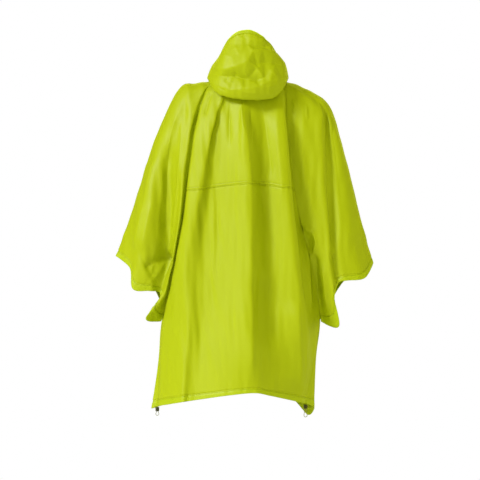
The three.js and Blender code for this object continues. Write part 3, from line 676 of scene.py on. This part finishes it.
def hood_grid(columns, rows):
    profiles = []
    for angle, parts in HOOD_RINGS:
        seam = neck_point(angle)
        seam[2] += HOOD_LIFT
        profiles.append(along([seam, *parts], rows))
    n = len(profiles)
    grid = np.empty((len(rows), len(columns), 3))
    for c, s in enumerate(columns):
        i = int(np.floor(s))
        grid[:, c] = cubic(*[profiles[(i + k) % n] for k in (-1, 0, 1, 2)], s - i)
    return as_built(grid)


def unit(vectors):
    return vectors / np.maximum(np.linalg.norm(vectors, axis=-1, keepdims=True), 1e-9)


# Unit vectors out of the garment at each point of a grid
def outward(grid, closed=False, hood=False):
    if closed:
        across = np.roll(grid, -1, axis=1) - np.roll(grid, 1, axis=1)
    else:
        across = np.gradient(grid, axis=1)
    down = np.gradient(grid, axis=0)
    normal = unit(np.cross(down, across))
    return -normal if hood else normal


# Distance of seen points from a line, the share of the line at the nearest place, and the side they lie on:
# above zero is to the right of a line that runs down, and below one that runs left
def from_line(x, z, line):
    line = np.array(line, float)
    best = np.full(x.shape, np.inf)
    place, side = np.zeros(x.shape), np.zeros(x.shape)
    lengths = np.linalg.norm(np.diff(line, axis=0), axis=1)
    reached = 0
    for a, b, length in zip(line[:-1], line[1:], lengths):
        run, rise = b - a
        share = np.clip(((x - a[0]) * run + (z - a[1]) * rise) / length**2, 0, 1)
        distance = np.hypot(x - a[0] - run * share, z - a[1] - rise * share)
        nearer = distance < best
        best = np.where(nearer, distance, best)
        place = np.where(nearer, reached + share * length, place)
        side = np.where(nearer, run * (z - a[1]) - rise * (x - a[0]), side)
        reached += length
    return best, place / reached, side


# Height of a fold along a line: sharp or soft, with its own width on each side, faded at its ends
def fold_height(x, z, line, lift, minus, plus, fade=0.2, sharp=True):
    distance, place, side = from_line(x, z, line)
    width = np.where(side > 0, plus, minus)
    rise = np.exp(-distance / width) if sharp else np.exp(-((distance / width) ** 2))
    ends = smoothstep(place, 0, fade) * (1 - smoothstep(place, 1 - fade, 1))
    return lift * rise * ends


def ripples(x, z, seed):
    random = np.random.default_rng(seed)
    total = np.zeros(x.shape)
    for _ in range(RIPPLE["count"]):
        across, down = random.uniform(*RIPPLE["across"]), random.uniform(*RIPPLE["down"])
        lean, shift = random.uniform(-0.25, 0.25), random.uniform(0, 2 * np.pi)
        total += np.sin(2 * np.pi * ((x + lean * z) / across + z / down) + shift)
    return RIPPLE["height"] * total / np.sqrt(RIPPLE["count"])


# Height of flat facets that meet along the given lines of points: x, z and lift
def facet_height(x, z, lines):
    places, lifts, edges = [], [], []
    for line in lines.values():
        edges += [(len(places) + i, len(places) + i + 1) for i in range(len(line) - 1)]
        places += [Vector(point[:2]) for point in line]
        lifts += [point[2] for point in line]
    corners, _, faces, sources, _, _ = delaunay_2d_cdt(places, edges, [], 0, 0.5)
    corners = np.array([list(corner) for corner in corners])
    lifts = np.array([lifts[origin[0]] for origin in sources], float)
    height = np.zeros(x.shape)
    for face in faces:
        (ax, az), (bx, bz), (cx, cz) = corners[face]
        area = (bx - ax) * (cz - az) - (cx - ax) * (bz - az)
        b = ((x - ax) * (cz - az) - (cx - ax) * (z - az)) / area
        c = ((bx - ax) * (z - az) - (x - ax) * (bz - az)) / area
        inside = (b >= -EDGE_SLACK) & (c >= -EDGE_SLACK) & (b + c <= 1 + EDGE_SLACK)
        a_lift, b_lift, c_lift = lifts[face]
        height = np.where(inside, a_lift * (1 - b - c) + b_lift * b + c_lift * c, height)
    return height


# Adds folds to a grid along its outward normals, where it faces the given way along Y
def add_folds(grid, folds, facing, seed, closed=False, hood=False):
    normals = outward(grid, closed, hood)
    x, z = as_seen(grid)
    height = ripples(x, z, seed)
    if hood:
        height = height + facet_height(x, z, HOOD_FACETS)
    for fold in folds:
        height = height + fold_height(x, z, *fold)
    turned = smoothstep(facing * normals[..., 1], -0.05, 0.25)
    return grid + normals * (height * turned)[..., None]


# Distance along the cloth from one edge of a grid: its first or last row, or its first or last column
def edge_distance(grid, edge):
    axis = 0 if edge in ("first_row", "last_row") else 1
    steps = np.linalg.norm(np.diff(grid, axis=axis), axis=-1)
    zero = np.zeros((1, grid.shape[1]) if axis == 0 else (grid.shape[0], 1))
    if edge.startswith("first"):
        return np.concatenate([zero, np.cumsum(steps, axis=axis)], axis=axis)
    back = np.flip(steps, axis=axis)
    return np.flip(np.concatenate([zero, np.cumsum(back, axis=axis)], axis=axis), axis=axis)


# Raises the sewn strip along an edge, sinks its stitch rows and puckers the cloth beside it
def sew_edge(grid, edge, rows, welt, closed=False, hood=False):
    normals = outward(grid, closed, hood)
    distance = edge_distance(grid, edge)
    run = edge_distance(grid, "first_column" if edge.endswith("row") else "first_row")
    height = welt * (1 - smoothstep(distance, rows[-1] + WELT_FALL[0], rows[-1] + WELT_FALL[1]))
    for row in rows:
        height = height - STITCH["sink"] * np.exp(-(((distance - row) / STITCH["spread"]) ** 2))
    sway = PUCKER["sway"] * np.sin(run / PUCKER["drift"])
    wave = np.sin(2 * np.pi * run / PUCKER["wave"] + sway)
    height = height + PUCKER["height"] * wave * np.exp(-distance / PUCKER["reach"])
    return grid + normals * height[..., None]


# Mesh of a thin wall about a grid of points, with a map in metres along the cloth
def shell(name, grid, wall, closed=False, hood=False):
    normals = outward(grid, closed, hood)
    rows, columns = grid.shape[:2]
    outer = grid + normals * wall / 2
    inner = grid - normals * wall / 2
    points = np.concatenate([outer.reshape(-1, 3), inner.reshape(-1, 3)]) * MM
    total = rows * columns
    index = np.arange(total).reshape(rows, columns)
    right = np.roll(index, -1, axis=1) if closed else index[:, 1:]
    left = index if closed else index[:, :-1]
    front = np.stack([left[:-1], left[1:], right[1:], right[:-1]], axis=-1).reshape(-1, 4)
    if hood:
        front = front[:, ::-1]
    faces = [front, front[:, ::-1] + total]
    edges = [(left[0], right[0]), (right[-1], left[-1])]
    if not closed:
        edges += [(index[1:, 0], index[:-1, 0]), (index[:-1, -1], index[1:, -1])]
    for p, q in edges:
        rim = np.stack([p, q, q + total, p + total], axis=-1).reshape(-1, 4)
        faces.append(rim[:, ::-1] if hood else rim)
    mesh = bpy.data.meshes.new(name)
    mesh.from_pydata(points.tolist(), [], np.concatenate(faces).tolist())
    add_map(mesh, grid)
    mesh.shade_smooth()
    return add_object(name, mesh)


def add_map(mesh, grid):
    across = np.linalg.norm(np.diff(grid, axis=1), axis=-1).mean(axis=0)
    down = np.linalg.norm(np.diff(grid, axis=0), axis=-1).mean(axis=1)
    u = np.concatenate([[0], np.cumsum(across)]) * MM
    v = np.concatenate([[0], np.cumsum(down)]) * MM
    place = np.stack(np.broadcast_arrays(u[None, :], v[:, None]), axis=-1).reshape(-1, 2)
    place = np.concatenate([place, place])
    corner = np.empty(len(mesh.loops), int)
    mesh.loops.foreach_get("vertex_index", corner)
    mesh.uv_layers.new(name="cloth").data.foreach_set("uv", place[corner].ravel())


# Evenly spaced points along a line, with the values that go with them
def resampled(line, values, step, closed=False):
    if closed:
        line = np.vstack([line, line[:1]])
        values = np.vstack([values, values[:1]])
    reach = np.concatenate([[0], np.cumsum(np.linalg.norm(np.diff(line, axis=0), axis=1))])
    places = np.arange(step / 2, reach[-1], step)
    return [
        np.stack([np.interp(places, reach, part[:, k]) for k in range(3)], axis=1)
        for part in (line, values)
    ]


# Row of single stitches that lie on the cloth along a line
def add_stitches(name, line, outs, closed=False):
    points, outs = resampled(line, outs, STITCH["pitch"], closed)
    outs = unit(outs)
    ways = unit(np.gradient(points, axis=0))
    sides = unit(np.cross(ways, outs))
    half, thick = STITCH["length"] / 2, STITCH["thread"] / 2
    corners = STITCH["corners"]
    vertices, faces = [], []
    for point, way, side, out in zip(points, ways, sides, outs):
        base = len(vertices)
        for share, size in STITCH_RINGS:
            centre = point + way * half * share + out * thick * size / 2
            for k in range(corners):
                a = 2 * np.pi * k / corners
                vertices.append((centre + (side * np.cos(a) + out * np.sin(a)) * thick * size) * MM)
        for ring in range(len(STITCH_RINGS) - 1):
            for k in range(corners):
                p = base + corners * ring + k
                q = base + corners * ring + (k + 1) % corners
                faces.append((p, q, q + corners, p + corners))
        faces.append(tuple(base + k for k in reversed(range(corners))))
        last = base + corners * (len(STITCH_RINGS) - 1)
        faces.append(tuple(last + k for k in range(corners)))
    mesh = bpy.data.meshes.new(name)
    mesh.from_pydata(vertices, [], faces)
    mesh.shade_smooth()
    piece = add_object(name, mesh)
    mesh.materials.append(THREAD_WITH_PAINTED_SHADE)
    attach(piece, "root")
    return piece


# Stitches along the line of a grid that lies a given distance from an edge
def stitch_along(name, grid, edge, distance, wall, closed=False, hood=False):
    normals = outward(grid, closed, hood)
    away = edge_distance(grid, edge)
    if edge.endswith("row"):
        grid, normals, away = grid.swapaxes(0, 1), normals.swapaxes(0, 1), away.T
    line, outs = [], []
    for points, ways, far in zip(grid, normals, away):
        order = np.argsort(far)
        line.append([np.interp(distance, far[order], points[order, k]) for k in range(3)])
        outs.append([np.interp(distance, far[order], ways[order, k]) for k in range(3)])
    line, outs = np.array(line), unit(np.array(outs))
    return add_stitches(name, line + outs * wall / 2, outs, closed)


def new_material(name):
    material = bpy.data.materials.new(name)
    material.use_nodes = True
    material.node_tree.nodes.clear()
    return material


def node(tree, kind, inputs=None, **settings):
    made = tree.nodes.new(kind)
    for key, value in settings.items():
        setattr(made, key, value)
    for key, value in (inputs or {}).items():
        if isinstance(value, bpy.types.NodeSocket):
            tree.links.new(value, made.inputs[key])
        else:
            made.inputs[key].default_value = value
    return made


# New material, its node tree and the place in the solid that its textures follow
def solid_material(name):
    material = new_material(name)
    tree = material.node_tree
    return material, tree, node(tree, "ShaderNodeTexCoord").outputs["Object"]


# Colour that drifts between two tones in soft clouds
def clouded(tree, solid, light, deep, scale):
    cloud = node(tree, "ShaderNodeTexNoise", {"Vector": solid, "Scale": scale, "Detail": 3.0}).outputs["Fac"]
    tone = node(tree, "ShaderNodeMix", {"Factor": cloud}, data_type="RGBA")
    tone.inputs[6].default_value = light
    tone.inputs[7].default_value = deep
    return tone.outputs[2], cloud


# Fine square weave, as height
def weave_height(tree, pitch):
    place = node(tree, "ShaderNodeUVMap", uv_map="cloth").outputs["UV"]
    scale = 2 * np.pi / (20 * pitch * MM)
    weave = {"Vector": place, "Scale": scale}
    warp = node(tree, "ShaderNodeTexWave", weave, bands_direction="X").outputs["Fac"]
    weft = node(tree, "ShaderNodeTexWave", weave, bands_direction="Y").outputs["Fac"]
    return node(tree, "ShaderNodeMath", {0: warp, 1: weft}, operation="MULTIPLY").outputs[0]


# Thin coated nylon: fine weave, soft gloss, slight crumple, a little light through it
def nylon(name, light, deep, through_share):
    material, tree, solid = solid_material(name)
    tone, cloud = clouded(tree, solid, light, deep, 5.0)
    crumple = node(tree, "ShaderNodeTexNoise", {"Vector": solid, "Scale": 30.0, "Detail": 4.0}).outputs["Fac"]
    crumpled = node(
        tree, "ShaderNodeBump", {"Height": crumple, "Strength": 0.16, "Distance": 0.003}
    ).outputs[0]
    woven = node(
        tree,
        "ShaderNodeBump",
        {"Height": weave_height(tree, 0.4), "Normal": crumpled, "Strength": 0.12, "Distance": 0.0002},
    ).outputs[0]
    rough = node(tree, "ShaderNodeMapRange", {"Value": cloud, "To Min": 0.48, "To Max": 0.6}).outputs[0]
    skin = node(
        tree,
        "ShaderNodeBsdfPrincipled",
        {"Base Color": tone, "Roughness": rough, "Normal": woven, "Specular IOR Level": 0.45},
    )
    through = node(tree, "ShaderNodeBsdfTranslucent", {"Color": tone, "Normal": crumpled})
    both = node(tree, "ShaderNodeMixShader", {0: through_share, 1: skin.outputs[0], 2: through.outputs[0]})
    node(tree, "ShaderNodeOutputMaterial", {"Surface": both.outputs[0]})
    return material


# Twisted sewing thread
def thread_material(name, light, deep):
    material, tree, solid = solid_material(name)
    tone, _ = clouded(tree, solid, light, deep, 60.0)
    twist = node(tree, "ShaderNodeTexWave", {"Vector": solid, "Scale": 900.0}, bands_direction="DIAGONAL")
    bump = node(tree, "ShaderNodeBump", {"Height": twist.outputs["Fac"], "Strength": 0.4, "Distance": 0.0001})
    skin = node(
        tree,
        "ShaderNodeBsdfPrincipled",
        {"Base Color": tone, "Roughness": 0.6, "Normal": bump.outputs[0], "Specular IOR Level": 0.3},
    )
    node(tree, "ShaderNodeOutputMaterial", {"Surface": skin.outputs[0]})
    return material


# Moulded plastic with a fine grain
def plastic(name, light, deep):
    material, tree, solid = solid_material(name)
    tone, cloud = clouded(tree, solid, light, deep, 220.0)
    grain = node(tree, "ShaderNodeTexNoise", {"Vector": solid, "Scale": 1600.0, "Detail": 2.0}).outputs["Fac"]
    bump = node(tree, "ShaderNodeBump", {"Height": grain, "Strength": 0.3, "Distance": 0.0001}).outputs[0]
    rough = node(tree, "ShaderNodeMapRange", {"Value": cloud, "To Min": 0.32, "To Max": 0.46}).outputs[0]
    skin = node(tree, "ShaderNodeBsdfPrincipled", {"Base Color": tone, "Roughness": rough, "Normal": bump})
    node(tree, "ShaderNodeOutputMaterial", {"Surface": skin.outputs[0]})
    return material


# Braided elastic cord
def braid(name, light, deep):
    material, tree, solid = solid_material(name)
    tone, _ = clouded(tree, solid, light, deep, 400.0)
    plait = node(tree, "ShaderNodeTexWave", {"Vector": solid, "Scale": 500.0}, bands_direction="DIAGONAL")
    bump = node(tree, "ShaderNodeBump", {"Height": plait.outputs["Fac"], "Strength": 0.5, "Distance": 0.0002})
    skin = node(
        tree, "ShaderNodeBsdfPrincipled", {"Base Color": tone, "Roughness": 0.75, "Normal": bump.outputs[0]}
    )
    node(tree, "ShaderNodeOutputMaterial", {"Surface": skin.outputs[0]})
    return material


# As white as the world behind it to the camera, and a plain pale floor to the light
def floor_material():
    material = new_material("pale_floor")
    tree = material.node_tree
    seen = node(tree, "ShaderNodeLightPath").outputs["Is Camera Ray"]
    plain = node(tree, "ShaderNodeBsdfPrincipled", {"Base Color": (0.93, 0.93, 0.6, 1), "Roughness": 0.9})
    white = node(tree, "ShaderNodeEmission", {"Color": (1, 1, 1, 1), "Strength": 1.0})
    both = node(tree, "ShaderNodeMixShader", {0: seen, 1: plain.outputs[0], 2: white.outputs[0]})
    node(tree, "ShaderNodeOutputMaterial", {"Surface": both.outputs[0]})
    return material


def add_sun(name, way, power, softness):
    lamp = bpy.data.lights.new(name, "SUN")
    lamp.color = (1, 1, 1) if name == "key" else AMBIENT_TINT[:3]
    lamp.energy = power
    lamp.angle = np.radians(softness)
    held = add_object(name, lamp)
    flat = np.hypot(way[0], way[1])
    held.rotation_euler = (np.pi / 2 + np.arctan2(way[2], flat), 0, np.arctan2(way[1], way[0]) - np.pi / 2)


# White all round to the camera, softer as light
def add_world():
    world = bpy.data.worlds.new("studio")
    world.use_nodes = True
    tree = world.node_tree
    tree.nodes.clear()
    seen = node(tree, "ShaderNodeLightPath").outputs["Is Camera Ray"]
    soft = node(tree, "ShaderNodeBackground", {"Color": AMBIENT_TINT, "Strength": AMBIENT})
    white = node(tree, "ShaderNodeBackground", {"Color": (1, 1, 1, 1), "Strength": 1.0})
    both = node(tree, "ShaderNodeMixShader", {0: seen, 1: soft.outputs[0], 2: white.outputs[0]})
    node(tree, "ShaderNodeOutputWorld", {"Surface": both.outputs[0]})
    bpy.context.scene.world = world
    bpy.context.scene.view_settings.view_transform = "Standard"


def add_floor():
    mesh = bpy.data.meshes.new("floor")
    half, z = FLOOR["half"], FLOOR["z"] * MM
    corners = [(-half, -half, z), (half, -half, z), (half, half, z), (-half, half, z)]
    mesh.from_pydata(corners, [], [(0, 1, 2, 3)])
    mesh.materials.append(floor_material())
    floor = add_object("floor", mesh)


def add_studio():
    add_world()
    for name, (way, power, softness) in SUNS.items():
        add_sun(name, way, power, softness)
    add_floor()


def spaced(first, last, per_line):
    return np.linspace(first, last, int((last - first) * per_line) + 1)


# Rows from one height to another, closer together beside a sewn edge
def rows_between(start, end, length, step, close_to=()):
    places = np.linspace(0, length, int(length / step) + 1)
    near = np.linspace(0, SEAM_STRIP, int(SEAM_STRIP / SEAM_STEP) + 1)
    if "start" in close_to:
        places = np.concatenate([near, places[places > SEAM_STRIP + SEAM_STEP]])
    if "end" in close_to:
        places = np.concatenate([places[places < length - SEAM_STRIP - SEAM_STEP], length - near[::-1]])
    return start + (end - start) * places / length


def height_between(start, end):
    heights = np.interp([start, end], range(len(HEIGHTS)), HEIGHTS)
    return abs(heights[1] - heights[0])


# Puts a piece of cloth in place of its node
def add_cloth(name, grid, wall, closed=False, hood=False):
    piece = shell(name + "_cloth", grid, wall, closed, hood)
    piece.data.materials.append(LIME if wall == WALL else LIME_DOUBLE)
    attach(piece, "root")
    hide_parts(name)
    return piece


def add_back():
    first, last = INDEX["seam_left"], INDEX["seam_right"]
    columns = spaced(first, last, COLUMNS["back"])
    upper_length = height_between(0, CROSS_SEAM)
    lower_length = height_between(CROSS_SEAM, HEM_TOP)
    upper_rows = rows_between(0, CROSS_SEAM, upper_length, ROW_STEP["back_upper"], ("end",))
    lower_rows = rows_between(CROSS_SEAM, HEM_TOP, lower_length, ROW_STEP["back_lower"], ("start", "end"))
    hem_rows = np.linspace(HEM_TOP, HEM, ROWS["hem"])
    upper = add_folds(body_grid(columns, upper_rows, first, last), BACK_CREASES, REARWARD, SEEDS["back"])
    lower = add_folds(body_grid(columns, lower_rows, first, last), BACK_CREASES, REARWARD, SEEDS["back"])
    hem = add_folds(body_grid(columns, hem_rows, first, last), BACK_CREASES, REARWARD, SEEDS["back"])
    upper = sew_edge(upper, "last_row", SEAM_ROWS, WELT)
    lower = sew_edge(lower, "first_row", SEAM_ROWS[:1], 0)
    lower = sew_edge(lower, "last_row", SEAM_ROWS[:1], 0)
    hem = sew_edge(hem, "first_row", SEAM_ROWS[:1], 0)
    rows = [
        stitch_along(f"cross_seam_stitches_{i}", upper, "last_row", distance, WALL)
        for i, distance in enumerate(SEAM_ROWS)
    ]
    add_cloth("back_upper", upper, WALL)
    add_cloth("back_lower", lower, WALL)
    rows = [stitch_along("back_hem_stitches", hem, "first_row", SEAM_ROWS[0], DOUBLE_WALL)]
    add_cloth("back_hem", hem, DOUBLE_WALL)


def add_front():
    first, last = INDEX["front_seam_right"], INDEX["front_seam_left"]
    columns = spaced(first, last, COLUMNS["front"])
    rows = rows_between(0, HEM_TOP, height_between(0, HEM_TOP), ROW_STEP["front"], ("end",))
    hem_rows = np.linspace(HEM_TOP, HEM, ROWS["hem"])
    panel = add_folds(body_grid(columns, rows, first, last), FRONT_CREASES, FORWARD, SEEDS["front"])
    hem = add_folds(body_grid(columns, hem_rows, first, last), FRONT_CREASES, FORWARD, SEEDS["front"])
    panel = sew_edge(panel, "last_row", SEAM_ROWS[:1], 0)
    hem = sew_edge(hem, "first_row", SEAM_ROWS[:1], 0)
    add_cloth("front_panel", panel, WALL)
    rows = [stitch_along("front_hem_stitches", hem, "first_row", SEAM_ROWS[0], DOUBLE_WALL)]
    add_cloth("front_hem", hem, DOUBLE_WALL)


def add_sleeve(side, first, last):
    seed = SEEDS["sleeve_" + side]
    ridge = np.array(RIDGE[side], float)
    last_step = np.hypot(*(ridge[UNDERARM] - ridge[UNDERARM - 1])[[0, 2]])
    cuff_top = UNDERARM - CUFF_HEM_DEPTH / last_step
    length = np.linalg.norm(np.diff(ridge, axis=0), axis=1).sum() - CUFF_HEM_DEPTH
    columns = spaced(first, last, COLUMNS["sleeve"])
    cloth = sleeve_grid(side, columns, rows_between(0, cuff_top, length, ROW_STEP["sleeve"], ("end",)))
    hem = sleeve_grid(side, columns, np.linspace(cuff_top, UNDERARM, ROWS["cuff_hem"]))
    cloth = add_folds(cloth, SLEEVE_CREASES[side], REARWARD, seed)
    hem = add_folds(hem, SLEEVE_CREASES[side], REARWARD, seed)
    cloth = add_folds(cloth, SLEEVE_FRONT_CREASES[side], FORWARD, seed + 1)
    hem = add_folds(hem, SLEEVE_FRONT_CREASES[side], FORWARD, seed + 1)
    cloth = sew_edge(cloth, "last_row", SEAM_ROWS[:1], 0)
    hem = sew_edge(hem, "first_row", SEAM_ROWS[:1], 0)
    add_cloth("sleeve_" + side, cloth, WALL)
    rows = [stitch_along(f"cuff_stitches_{side}", hem, "first_row", SEAM_ROWS[0], DOUBLE_WALL)]
    add_cloth("cuff_hem_" + side, hem, DOUBLE_WALL)


def add_hood():
    columns = spaced(0, len(HOOD_RINGS), COLUMNS["hood"])[:-1]
    brim_from = HOOD_TOP - BRIM_DEPTH / BRIM_SPAN
    cloth = hood_grid(columns, np.linspace(0, brim_from, ROWS["hood"]))
    brim = hood_grid(columns, np.linspace(brim_from, HOOD_TOP, ROWS["brim"]))
    cloth = add_folds(cloth, HOOD_CREASES, REARWARD, SEEDS["hood"], closed=True, hood=True)
    brim = add_folds(brim, HOOD_CREASES, REARWARD, SEEDS["hood"], closed=True, hood=True)
    piping = brim_piping(brim)
    stitches = stitch_along(
        "brim_stitches", brim, "first_row", BRIM_ROW, DOUBLE_WALL, closed=True, hood=True
    )
    add_cloth("hood_brim", brim, DOUBLE_WALL, closed=True, hood=True)
    add_cloth("hood", cloth, WALL, closed=True, hood=True)


# Round piping along the edge of the hood's face opening; its tone is a painted highlight for the lit edge
def brim_piping(brim):
    edge = brim[-1]
    ways = unit(np.roll(edge, -1, axis=0) - np.roll(edge, 1, axis=0))
    outs = outward(brim, closed=True, hood=True)[-1]
    sides = unit(np.cross(ways, outs))
    turns = np.linspace(0, 2 * np.pi, PIPING["corners"], endpoint=False)
    ring = [edge + PIPING["radius"] * (outs * np.cos(a) + sides * np.sin(a)) for a in turns]
    grid = np.stack([*ring, ring[0]], axis=1) * MM
    count, corners = len(edge), len(turns)
    vertices = grid[:, :corners].reshape(-1, 3)
    faces = []
    for i in range(count):
        for k in range(corners):
            a, b = i * corners + k, i * corners + (k + 1) % corners
            c, d = ((i + 1) % count) * corners + (k + 1) % corners, ((i + 1) % count) * corners + k
            faces.append((a, b, c, d))
    mesh = bpy.data.meshes.new("brim_piping")
    mesh.from_pydata(vertices.tolist(), [], faces)
    mesh.shade_smooth()
    mesh.materials.append(PIPING_PAINTED_HIGHLIGHT)
    piece = add_object("brim_piping", mesh)
    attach(piece, "root")
    return piece


# Toggle barrel turned from a ribbed outline, with a slot down its middle for both strands
def toggle_mesh(name, place):
    mesh = bpy.data.meshes.new(name)
    sides = TOGGLE["sides"]
    rings = TOGGLE_OUTLINE
    vertices, faces = [], []
    for radius, height in rings:
        for k in range(sides):
            a = 2 * np.pi * k / sides
            vertices.append((np.array([radius * np.cos(a), radius * np.sin(a), height]) + place) * MM)
    for height in (TOGGLE["height"] / 2, -TOGGLE["height"] / 2):
        for k in range(sides):
            a = 2 * np.pi * k / sides
            x = np.clip(TOGGLE["slot_width"] * np.cos(a), -TOGGLE["slot_width"] / 2, TOGGLE["slot_width"] / 2)
            y = TOGGLE["slot_depth"] / 2 * np.sin(a)
            vertices.append((np.array([x, y, height]) + place) * MM)
    for ring in range(len(rings) - 1):
        for k in range(sides):
            p, q = ring * sides + k, ring * sides + (k + 1) % sides
            faces.append((p, q, q + sides, p + sides))
    top_outer, top_inner, low_inner = (len(rings) - 1) * sides, len(rings) * sides, (len(rings) + 1) * sides
    for k in range(sides):
        n = (k + 1) % sides
        faces.append((top_outer + k, top_outer + n, top_inner + n, top_inner + k))
        faces.append((top_inner + k, top_inner + n, low_inner + n, low_inner + k))
        faces.append((low_inner + k, low_inner + n, n, k))
    mesh.from_pydata([tuple(p) for p in vertices], [], faces)
    mesh.shade_smooth()
    return mesh


# Both strands down through the toggle, then apart and round a half circle below it
def loop_route(top, toggle_bottom, drop):
    strand, bend = LOOP["strand"], LOOP["bend"]
    centre = toggle_bottom - drop + bend
    turn = np.linspace(np.pi, 2 * np.pi, LOOP["bend_steps"] + 1)
    return [
        (top[0] - strand, top[1], top[2]),
        (top[0] - strand, top[1], toggle_bottom),
        *[(top[0] + bend * np.cos(a), top[1], centre + bend * np.sin(a)) for a in turn],
        (top[0] + strand, top[1], toggle_bottom),
        (top[0] + strand, top[1], top[2]),
    ]


# Point on the centripetal curve through four points, at knot t
def centripetal(four, knots, t):
    near = [mix(four[k], four[k + 1], (t - knots[k]) / (knots[k + 1] - knots[k])) for k in range(3)]
    wide = [mix(near[k], near[k + 1], (t - knots[k]) / (knots[k + 2] - knots[k])) for k in range(2)]
    return mix(wide[0], wide[1], (t - knots[1]) / (knots[2] - knots[1]))


def smooth_route(points, per_span):
    points = np.array(points, float)
    held = np.vstack([2 * points[0] - points[1], points, 2 * points[-1] - points[-2]])
    route = []
    for i in range(len(points) - 1):
        four = held[i : i + 4]
        spans = np.sqrt(np.linalg.norm(np.diff(four, axis=0), axis=1))
        knots = np.concatenate([[0], np.cumsum(spans)])
        for t in np.linspace(knots[1], knots[2], per_span, endpoint=False):
            route.append(centripetal(four, knots, t))
    return np.array([*route, points[-1]])


def add_toggle(side):
    seam = INDEX["seam_" + side]
    corner = body_grid([seam], np.array([float(HEM)]), INDEX["seam_left"], INDEX["seam_right"])[0, 0]
    middle = corner - [0, 0, TOGGLE["below_hem"] + TOGGLE["height"] / 2]
    name = f"hem_toggle_{side}_barrel"
    toggle = add_object(name, toggle_mesh(name, middle))
    toggle.data.materials.append(TOGGLE_PLASTIC)
    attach(toggle, "root")
    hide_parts("hem_toggle_" + side)
    add_loop(side, corner - [0, 0, LOOP["below_cloth"]], middle[2] - TOGGLE["height"] / 2)


def add_loop(side, top, toggle_bottom):
    route = smooth_route(loop_route(top, toggle_bottom, LOOP_DROP[side]), 8)
    curve = bpy.data.curves.new(f"hem_loop_{side}_cord", "CURVE")
    curve.dimensions = "3D"
    curve.bevel_depth = LOOP["radius"] * MM
    curve.bevel_resolution = 3
    curve.use_fill_caps = True
    spline = curve.splines.new("POLY")
    spline.points.add(len(route) - 1)
    for held, point in zip(spline.points, route * MM):
        held.co = (*point, 1)
    curve.materials.append(ELASTIC)
    loop = add_object(f"hem_loop_{side}_cord", curve)
    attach(loop, "root")
    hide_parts("hem_loop_" + side)


add_camera()
TOGGLE_PLASTIC = plastic("toggle_plastic", (0.028, 0.03, 0.028, 1), (0.014, 0.015, 0.014, 1))
ELASTIC = braid("elastic_braid", (0.33, 0.34, 0.33, 1), (0.2, 0.21, 0.2, 1))
add_toggle("left")
add_toggle("right")
LIME = nylon("lime_nylon", (0.49, 0.57, 0.002, 1), (0.44, 0.52, 0.001, 1), 0.3)
LIME_DOUBLE = nylon("lime_nylon_double", (0.44, 0.54, 0.002, 1), (0.39, 0.48, 0.001, 1), 0.18)
# Piping tone is a painted highlight: lighter and paler than the nylon, for the light along the brim's edge
PIPING_PAINTED_HIGHLIGHT = thread_material("piping_painted_highlight", (0.6, 0.7, 0.06, 1), (0.52, 0.62, 0.03, 1))
# Stitch thread: real thread, its tone darkened below the cloth's as painted shade along the sunk stitch lines
THREAD_WITH_PAINTED_SHADE = thread_material("lime_thread_painted_shade", (0.24, 0.3, 0.003, 1), (0.2, 0.25, 0.002, 1))
add_back()
add_front()
add_sleeve("right", INDEX["seam_right"], INDEX["front_seam_right"])
add_sleeve("left", INDEX["front_seam_left"], COUNT)
add_hood()
add_studio()
